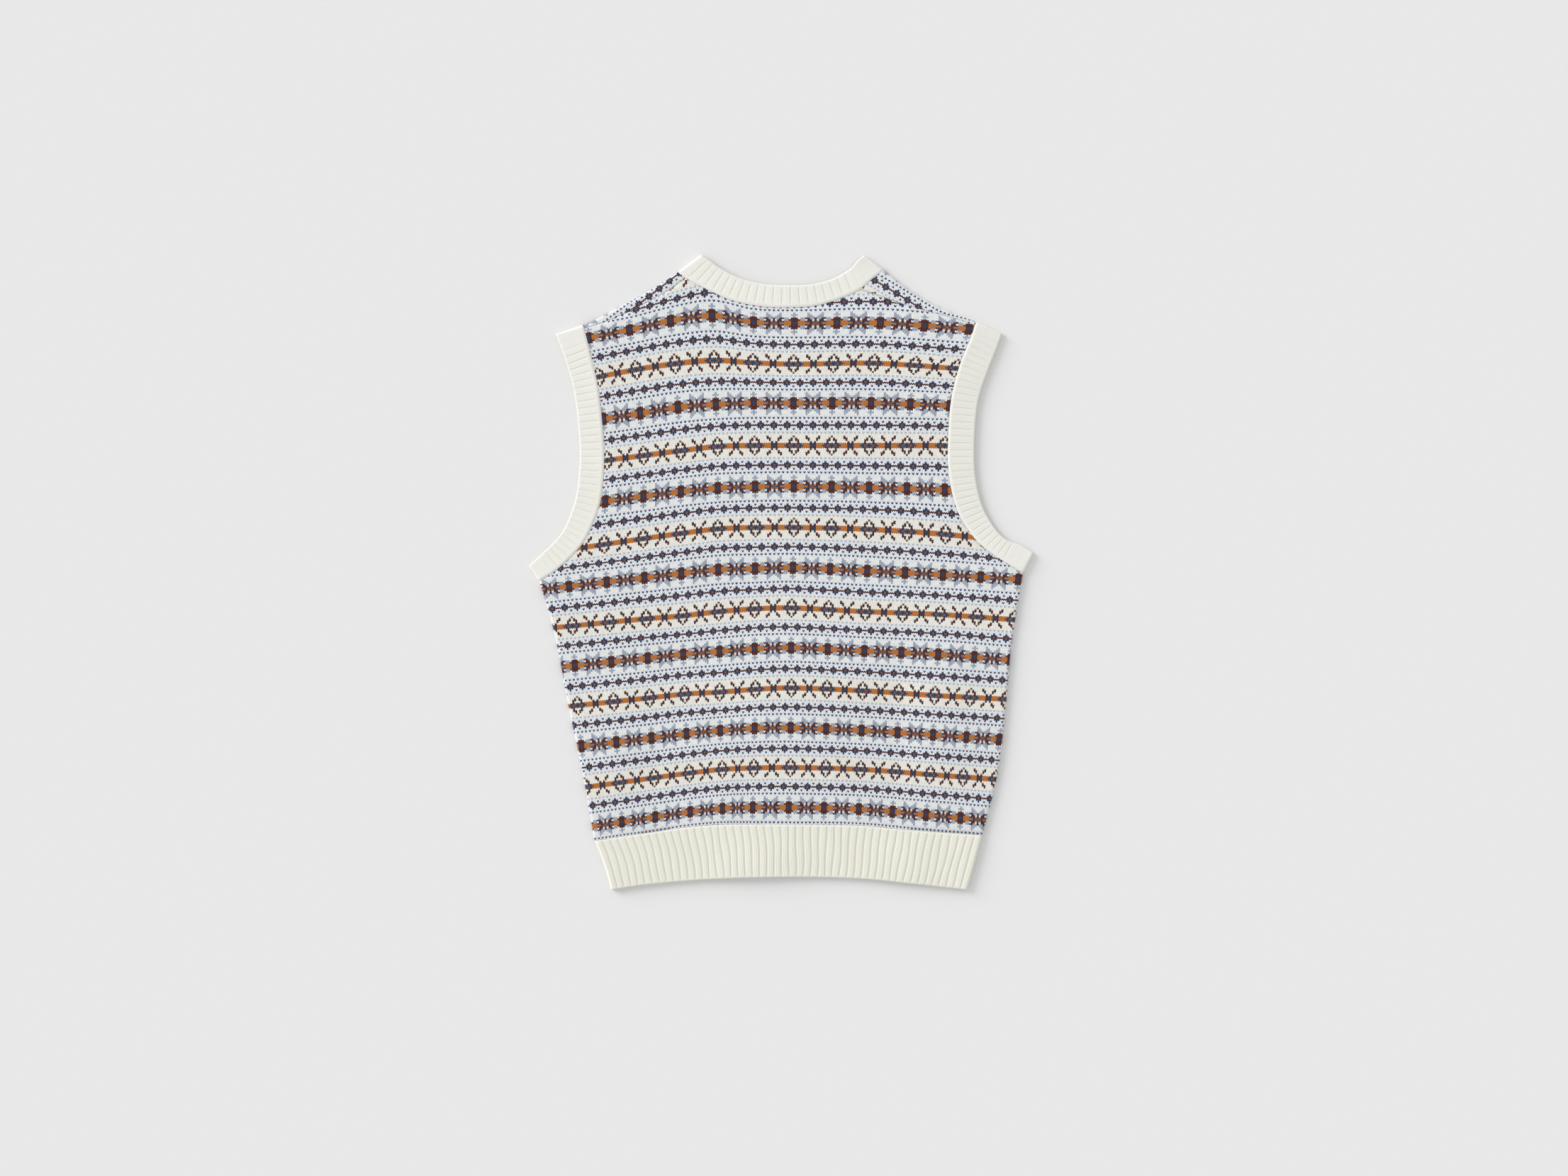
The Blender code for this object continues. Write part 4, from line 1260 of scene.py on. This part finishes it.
def make_hem_rib(name, layer, knit):
    """A hem rib as sections across the hem, from its left side seam to its right.
    The layer is 1 for the back, on top, and -1 for the front, underneath."""
    seam_chain = even_points(vectors(HEM_SEAM), EDGE_STEPS)
    edge_chain = even_points(vectors(HEM_EDGE), EDGE_STEPS)
    sides = [vectors(HEM_SIDE[side]) for side in SIDES]
    width = (seam_chain[-1] - seam_chain[0]).length
    stations = rib_stations(HEM_RIBS, HEM_SECTION, *HEM_PLAIN)
    extra = [d / width for d in SIDE_PLACES]
    for share in extra + [1 - share for share in extra]:
        stations.append((share, 1.0, 0.0, share * HEM_RIBS))
    stations.sort()
    sections, groove, wales = [], [], []
    for share, height, hollow, wale in stations:
        top, low = on_chain(seam_chain, share), on_chain(edge_chain, share)
        bow = Vector((0, 0, 0))
        for side, weight in zip(sides, (1 - share, share)):
            bow += (side[1] - (side[0] + side[2]) / 2) * weight
        inward = min(share, 1 - share) * width
        reach = rounding(inward)
        crest = (RIB_RISE if layer > 0 else 0.0) * smooth_share(inward, 0, 2.5)
        section = []
        drop = (1 - height) * knit.hem_groove / MM
        for distance, out, ribbed in hem_ring(reach, drop, crest):
            part = distance / HEM_DEPTH
            point = low.lerp(top, part) + bow * 4 * part * (1 - part)
            point.x += hem_sway(share, distance) * smooth_share(inward, 0, 20)
            lift = relief(point) if layer > 0 else 0.0
            section.append(Vector((point.x, point.y, SEAM_HEIGHT + lift + layer * out)))
            groove.append(hollow * ribbed)
        sections.append(section)
        wales.append(wale)
    ring = hem_ring(FOLD_RADIUS, 0.0, 0.0)
    courses = [row[0] / RIB_COURSE for row in ring]
    inside = 0.2
    outer_count = len(ring) - len(INNER_PLACES)
    girths = [ring[k][0] / HEM_DEPTH * (1 - inside) for k in range(outer_count)]
    girths += [1 - inside * share for share in INNER_PLACES]
    return lofted_strip(name, sections, False, girths + [1.0], (wales, courses + courses[:1]),
                        groove, 2)


# ---- materials

class Desk:
    """Adds shader nodes to a tree and joins their sockets."""

    def __init__(self, tree):
        self.tree = tree

    def node(self, kind, **settings):
        made = self.tree.nodes.new("ShaderNode" + kind)
        for name, value in settings.items():
            setattr(made, name, value)
        return made

    def join(self, source, socket):
        if isinstance(source, bpy.types.NodeSocket):
            self.tree.links.new(source, socket)
        else:
            socket.default_value = source

    def math(self, operation, *values):
        made = self.node("Math", operation=operation)
        for value, socket in zip(values, made.inputs):
            self.join(value, socket)
        return made.outputs["Value"]

    def stretch(self, value, low, high, to_low=0.0, to_high=1.0):
        made = self.node("MapRange", clamp=True)
        for source, socket in zip((value, low, high, to_low, to_high), made.inputs):
            self.join(source, socket)
        return made.outputs["Result"]

    def blend(self, share, first, second, kind="MIX"):
        made = self.node("Mix", data_type="RGBA", blend_type=kind)
        self.join(share, made.inputs["Factor"])
        self.join(first, made.inputs[6])
        self.join(second, made.inputs[7])
        return made.outputs[2]

    def speckle(self, vector, scale, detail=2.0, roughness=0.5):
        made = self.node("TexNoise")
        self.join(vector, made.inputs["Vector"])
        self.join(scale, made.inputs["Scale"])
        self.join(detail, made.inputs["Detail"])
        self.join(roughness, made.inputs["Roughness"])
        return made.outputs["Fac"]

    def pair(self, x, y):
        made = self.node("CombineXYZ")
        self.join(x, made.inputs["X"])
        self.join(y, made.inputs["Y"])
        return made.outputs["Vector"]


def open_colour(colour):
    return (*colour, 1.0)


def new_group(name, inputs, outputs):
    """A shader node group with plain value inputs, and outputs given as (name, kind)."""
    tree = bpy.data.node_groups.new(name, "ShaderNodeTree")
    for label, default in inputs:
        socket = tree.interface.new_socket(label, in_out="INPUT", socket_type="NodeSocketFloat")
        socket.default_value = default
    for label, kind in outputs:
        tree.interface.new_socket(label, in_out="OUTPUT", socket_type=kind)
    desk = Desk(tree)
    return tree, desk, tree.nodes.new("NodeGroupInput"), tree.nodes.new("NodeGroupOutput")


def knit_stitch_group():
    """The legs of a knit stitch: their height, the stitch's own row and column, and a number
    that is its own. A wale's middle is at a whole number, and so is a course's."""
    value = "NodeSocketFloat"
    tree, desk, given, result = new_group(
        "Knit stitch", [("Wale", 0.0), ("Course", 0.0), ("Slant", 0.9)],
        [("Height", value), ("Row", value), ("Column", value), ("Chance", value)])
    wale, course, slant = (given.outputs[name] for name in ("Wale", "Course", "Slant"))
    across = desk.math("MULTIPLY", desk.math("PINGPONG", wale, 0.5), 2.0)
    drop = desk.math("MULTIPLY", slant, desk.math("SUBTRACT", across, 0.5))
    lifted = desk.math("SUBTRACT", course, drop)
    row = desk.math("FLOOR", desk.math("ADD", lifted, 0.5))
    column = desk.math("FLOOR", desk.math("ADD", wale, 0.5))
    leg = desk.math("POWER", desk.math("SINE", desk.math("MULTIPLY", across, math.pi)), 0.6)
    along = desk.math("COSINE", desk.math("MULTIPLY", desk.math("SUBTRACT", lifted, row), math.pi))
    along = desk.math("POWER", desk.math("MAXIMUM", along, 0.0), 0.5)
    plump = desk.math("MULTIPLY_ADD", along, 0.6, 0.4)
    noise = desk.node("TexWhiteNoise", noise_dimensions="2D")
    desk.join(desk.pair(column, row), noise.inputs["Vector"])
    for name, source in (("Height", desk.math("MULTIPLY", leg, plump)), ("Row", row),
                         ("Column", column), ("Chance", noise.outputs["Value"])):
        desk.join(source, result.inputs[name])
    return tree


def wool_group():
    """Fine fibres that run along the legs of the stitches, and slow patches of tone."""
    value = "NodeSocketFloat"
    tree, desk, given, result = new_group(
        "Wool fibres", [("Wale", 0.0), ("Course", 0.0)], [("Fibre", value), ("Patch", value)])
    wale, course = given.outputs["Wale"], given.outputs["Course"]
    for name, fine, long, detail, roughness in (("Fibre", 7.0, 2.4, 3.0, 0.6),
                                                ("Patch", 0.05, 0.04, 2.0, 0.5)):
        place = desk.pair(desk.math("MULTIPLY", wale, fine), desk.math("MULTIPLY", course, long))
        desk.join(desk.speckle(place, 1.0, detail, roughness), result.inputs[name])
    return tree


def chart_group(yarns):
    """The Fair Isle colours: a column and a row give the yarn of that stitch."""
    tree, desk, given, result = new_group(
        "Fair Isle chart", [("Column", 0.0), ("Row", 0.0)], [("Colour", "NodeSocketColor")])
    column = desk.math("PINGPONG", given.outputs["Column"], CHART_COLUMNS - 1)
    row = desk.math("PINGPONG", given.outputs["Row"], len(CHART) - 1)
    share = desk.math("DIVIDE", desk.math("ADD", column, 0.5), CHART_COLUMNS)
    named = {"O": yarns.ochre, "B": yarns.burgundy, "N": yarns.navy, "L": yarns.blue,
             "G": yarns.grey, "T": yarns.tan, "D": yarns.plum}
    colour, ramps = None, {}
    for k, line in enumerate(CHART):
        ground = yarns.white if k < STAR_ROWS else yarns.ice if k < PEERIE_ROWS else yarns.ivory
        code = (line, tuple(ground))
        if code not in ramps:
            ramps[code] = chart_row(desk, share, line, ground, named)
        if colour is None:
            colour = ramps[code]
        else:
            picked = desk.math("COMPARE", row, k, 0.5)
            colour = desk.blend(picked, colour, ramps[code])
    desk.join(colour, result.inputs["Colour"])
    return tree


def chart_row(desk, share, line, ground, named):
    """A ramp whose constant stops are one row of the chart."""
    made = desk.node("ValToRGB")
    desk.join(share, made.inputs["Fac"])
    ramp = made.color_ramp
    ramp.interpolation = "CONSTANT"
    while len(ramp.elements) > 1:
        ramp.elements.remove(ramp.elements[-1])
    ramp.elements[0].position = 0
    ramp.elements[0].color = open_colour(named.get(line[0], ground))
    for c in range(1, len(line)):
        if line[c] != line[c - 1]:
            stop = ramp.elements.new(c / CHART_COLUMNS)
            stop.color = open_colour(named.get(line[c], ground))
    return made.outputs["Color"]


def placed_group(desk, tree, **inputs):
    made = desk.node("Group", node_tree=tree)
    for name, source in inputs.items():
        desk.join(source, made.inputs[name])
    return made


def stitch_places(desk):
    made = desk.node("UVMap", uv_map="Stitches")
    parts = desk.node("SeparateXYZ")
    desk.join(made.outputs["UV"], parts.inputs["Vector"])
    return parts.outputs["X"], parts.outputs["Y"]


def wool_material(name):
    """A new material with wool's own shader, and a desk to add nodes at."""
    material = bpy.data.materials.new(name)
    material.use_nodes = True
    shader = material.node_tree.nodes["Principled BSDF"]
    for setting, value in WOOL.items():
        shader.inputs[setting].default_value = value
    return material, Desk(material.node_tree), shader


def shade_and_tone(desk, shades_and_tones, sources):
    """The product of the sources, each stretched as its row says: painted shade where the stitches
    are low, times the yarn's random tones.
    """
    shade = None
    for name, source in sources.items():
        tone = desk.stretch(source, *shades_and_tones[name])
        shade = tone if shade is None else desk.math("MULTIPLY", shade, tone)
    return shade


def finish_wool(desk, shader, colour, shade, height, depth):
    """Joins a wool's colour, times painted shade in its gaps and its random tones, and its relief
    to the shader.
    """
    grey = desk.node("CombineColor")
    for socket in grey.inputs:
        desk.join(shade, socket)
    shaded = desk.blend(1.0, colour, grey.outputs["Color"], "MULTIPLY")
    desk.join(shaded, shader.inputs["Base Color"])
    bump_node = desk.node("Bump")
    bump_node.inputs["Strength"].default_value = BUMP_STRENGTH
    bump_node.inputs["Distance"].default_value = depth
    desk.join(height, bump_node.inputs["Height"])
    desk.join(bump_node.outputs["Normal"], shader.inputs["Normal"])
    desk.join(desk.stretch(height, 0.0, 1.0, *WOOL_ROUGHNESS), shader.inputs["Roughness"])


def jersey_material(knit_group, wool, chart, depth):
    material, desk, shader = wool_material("fair isle jersey")
    wale, course = stitch_places(desk)
    wander = desk.math("SUBTRACT", desk.speckle(desk.pair(wale, course), WANDER_SCALE), 0.5)
    knit = placed_group(desk, knit_group, Wale=desk.math("MULTIPLY_ADD", wander, WANDER, wale),
                        Course=desk.math("MULTIPLY_ADD", wander, WANDER, course),
                        Slant=JERSEY_SLANT)
    fibres = placed_group(desk, wool, Wale=wale, Course=course)
    colour = placed_group(desk, chart, Column=knit.outputs["Column"], Row=knit.outputs["Row"])
    height = desk.math("MULTIPLY_ADD", fibres.outputs["Fibre"], JERSEY_FIBRE,
                       knit.outputs["Height"])
    sources = {name: knit.outputs[name] for name in ("Height", "Chance")}
    sources.update({name: fibres.outputs[name] for name in ("Fibre", "Patch")})
    # Painted shade between the stitches' legs, times the yarn's random tones.
    shade = shade_and_tone(desk, JERSEY_SHADE_AND_TONES, sources)
    finish_wool(desk, shader, colour.outputs["Colour"], shade, height, depth)
    return material


def rib_material(name, colour, groove_shade, knit_group, wool, depth):
    """Two wales of knit stitches on each rib's crest, and purls that sink into its groove,
    where painted shade darkens the yarn's colour."""
    material, desk, shader = wool_material(name)
    rib, course = stitch_places(desk)
    part = desk.math("SUBTRACT", desk.math("FRACT", rib), 0.5)
    wale = desk.math("ADD", desk.math("DIVIDE", part, CREST_WALE), 0.5)
    knit = placed_group(desk, knit_group, Wale=wale, Course=course, Slant=RIB_SLANT)
    fibres = placed_group(desk, wool, Wale=desk.math("MULTIPLY", rib, 3.5), Course=course)
    groove = desk.node("Attribute", attribute_name="Groove").outputs["Fac"]
    purl = desk.math("ABSOLUTE", desk.math("SINE", desk.math("MULTIPLY", course, math.pi)))
    crest = desk.math("MULTIPLY", knit.outputs["Height"], desk.math("SUBTRACT", 1.0, groove))
    bumps = desk.math("ADD", crest, desk.math("MULTIPLY", purl, desk.math("MULTIPLY", groove, 0.5)))
    height = desk.math("MULTIPLY_ADD", fibres.outputs["Fibre"], RIB_FIBRE, bumps)
    # Painted shade between the legs and in the grooves, times the yarn's random tones.
    shade = shade_and_tone(desk, RIB_SHADE_AND_TONES, {"Height": bumps, "Fibre": fibres.outputs["Fibre"],
                                    "Patch": fibres.outputs["Patch"]})
    # Painted shade: the yarn's colour darkened in the grooves, blended in by the Groove mask, which
    # also lowers the relief.
    hollow = open_colour([c * t for c, t in zip(colour, groove_shade)])
    groove_shaded = desk.blend(desk.math("MINIMUM", groove, 1.0), open_colour(colour), hollow)
    finish_wool(desk, shader, groove_shaded, shade, height, depth)
    return material


def vest_material(name):
    """One of the vest's materials by name. The first call makes all of them."""
    if name not in bpy.data.materials:
        scene = bpy.context.scene
        yarns, relief_depth = scene.vest_yarns, scene.vest_knit.stitch_relief
        knit_group, wool = knit_stitch_group(), wool_group()
        jersey_material(knit_group, wool, chart_group(yarns), relief_depth)
        rib_material("ivory rib", yarns.rib, BAND_GROOVE_SHADE, knit_group, wool, relief_depth)
        rib_material("ivory hem rib", yarns.hem, HEM_GROOVE_SHADE, knit_group, wool, relief_depth)
    return bpy.data.materials[name]


# ---- stage

def make_floor(stage):
    bpy.ops.mesh.primitive_plane_add(size=FLOOR_SIZE)
    floor = bpy.context.object
    floor.name = "studio_floor"
    material = bpy.data.materials.new("pale floor")
    material.use_nodes = True
    shader = material.node_tree.nodes["Principled BSDF"]
    shader.inputs["Base Color"].default_value = open_colour(stage.floor)
    shader.inputs["Roughness"].default_value = FLOOR_ROUGHNESS
    shader.inputs["Specular IOR Level"].default_value = 0.0
    floor.data.materials.append(material)


def make_light(stage):
    """Even light from all round, and a soft key light from the upper left."""
    world = bpy.data.worlds.new("studio")
    bpy.context.scene.world = world
    world.use_nodes = True
    sky = world.node_tree.nodes["Background"]
    sky.inputs["Color"].default_value = (1, 1, 1, 1)
    sky.inputs["Strength"].default_value = stage.sky_strength
    bpy.ops.object.light_add(type="SUN", location=(0, 0, 2))
    key = bpy.context.object
    key.name = "key_light"
    key.data.energy = stage.key_strength
    key.data.angle = math.radians(KEY_SPREAD)
    tilt, bearing = stage.key_height, stage.key_bearing
    source = Vector((math.cos(bearing) * math.cos(tilt), math.sin(bearing) * math.cos(tilt),
                     math.sin(tilt)))
    key.rotation_mode = "QUATERNION"
    key.rotation_quaternion = source.to_track_quat("Z", "Y")


def make_camera(stage):
    """Straight above the middle of the picture, as high as its lens asks."""
    height = stage.frame_width * stage.lens / SENSOR_WIDTH
    bpy.ops.object.camera_add(location=(FRAME_CENTRE[0] * MM, FRAME_CENTRE[1] * MM, height))
    camera = bpy.context.object
    camera.rotation_euler = (0, 0, 0)
    camera.data.lens = stage.lens
    camera.data.sensor_width = SENSOR_WIDTH
    camera.data.sensor_fit = "HORIZONTAL"
    camera.data.clip_end = 100
    bpy.context.scene.camera = camera
    bpy.context.scene.view_settings.view_transform = "Standard"


# ---- operators

class VEST_OT_back_panel(bpy.types.Operator):
    """Knit the Fair Isle back, up to the neck, shoulder and armhole seams"""
    bl_idname = "vest.back_panel"
    bl_label = "Knit the back"

    def execute(self, context):
        piece = make_back_panel(context.scene.vest_knit)
        finish_piece(piece, "fair isle jersey", "back_panel")
        return {"FINISHED"}


class VEST_OT_front_panel(bpy.types.Operator):
    """Knit the Fair Isle front, which lies underneath and rolls over both shoulders"""
    bl_idname = "vest.front_panel"
    bl_label = "Knit the front"

    def execute(self, context):
        piece = make_front_panel(context.scene.vest_knit)
        finish_piece(piece, "fair isle jersey", "front_panel")
        return {"FINISHED"}


class VEST_OT_neckband(bpy.types.Operator):
    """Knit the ring of rib round the neck"""
    bl_idname = "vest.neckband"
    bl_label = "Knit the neckband"

    def execute(self, context):
        piece = make_neckband(context.scene.vest_knit)
        finish_piece(piece, "ivory rib", "neckband")
        return {"FINISHED"}


class VEST_OT_armhole_bands(bpy.types.Operator):
    """Knit the ring of rib round each armhole"""
    bl_idname = "vest.armhole_bands"
    bl_label = "Knit the armhole bands"

    def execute(self, context):
        for side in SIDES:
            piece = make_armhole_band(side, context.scene.vest_knit)
            finish_piece(piece, "ivory rib", "armhole_band_" + side)
        return {"FINISHED"}


class VEST_OT_hem_ribs(bpy.types.Operator):
    """Knit the ribs at the hem, one for each layer"""
    bl_idname = "vest.hem_ribs"
    bl_label = "Knit the hem ribs"

    def execute(self, context):
        for name, node, layer, under in (
                ("hem_rib_back", "back_hem_rib", 1, "front_hem_rib"),
                ("hem_rib_front", "front_hem_rib", -1, "studio_floor")):
            piece = make_hem_rib(name, layer, context.scene.vest_knit)
            finish_piece(piece, "ivory hem rib", node)
        return {"FINISHED"}


class VEST_OT_stage(bpy.types.Operator):
    """Set the floor, the light and the camera above the vest"""
    bl_idname = "vest.stage"
    bl_label = "Set the stage"

    def execute(self, context):
        stage = context.scene.vest_stage
        make_floor(stage)
        make_light(stage)
        make_camera(stage)
        return {"FINISHED"}


class VEST_PT_making(bpy.types.Panel):
    """The steps that make the vest, in order"""
    bl_idname = "VEST_PT_making"
    bl_label = "Sweater vest"
    bl_space_type = "VIEW_3D"
    bl_region_type = "UI"
    bl_category = "Vest"

    def draw(self, context):
        for name in SETTINGS:
            settings = getattr(context.scene, name)
            box = self.layout.box()
            box.label(text=name.removeprefix("vest_").title())
            for setting in settings.__annotations__:
                box.prop(settings, setting)
        for operator in OPERATORS:
            self.layout.operator(operator.bl_idname)


OPERATORS = (VEST_OT_stage, VEST_OT_back_panel, VEST_OT_front_panel, VEST_OT_neckband,
             VEST_OT_armhole_bands, VEST_OT_hem_ribs)
SETTINGS = {"vest_yarns": VestYarns, "vest_knit": VestKnit, "vest_stage": VestStage}


def register():
    for name, group in SETTINGS.items():
        bpy.utils.register_class(group)
        setattr(bpy.types.Scene, name, bpy.props.PointerProperty(type=group))
    for made in OPERATORS + (VEST_PT_making,):
        bpy.utils.register_class(made)


def unregister():
    for made in (VEST_PT_making,) + OPERATORS[::-1]:
        bpy.utils.unregister_class(made)
    for name, group in SETTINGS.items():
        delattr(bpy.types.Scene, name)
        bpy.utils.unregister_class(group)


def main():
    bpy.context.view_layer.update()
    register()
    bpy.ops.vest.stage()
    bpy.ops.vest.back_panel()
    bpy.ops.vest.front_panel()
    bpy.ops.vest.neckband()
    bpy.ops.vest.armhole_bands()
    bpy.ops.vest.hem_ribs()


if __name__ == "__main__":
    main()
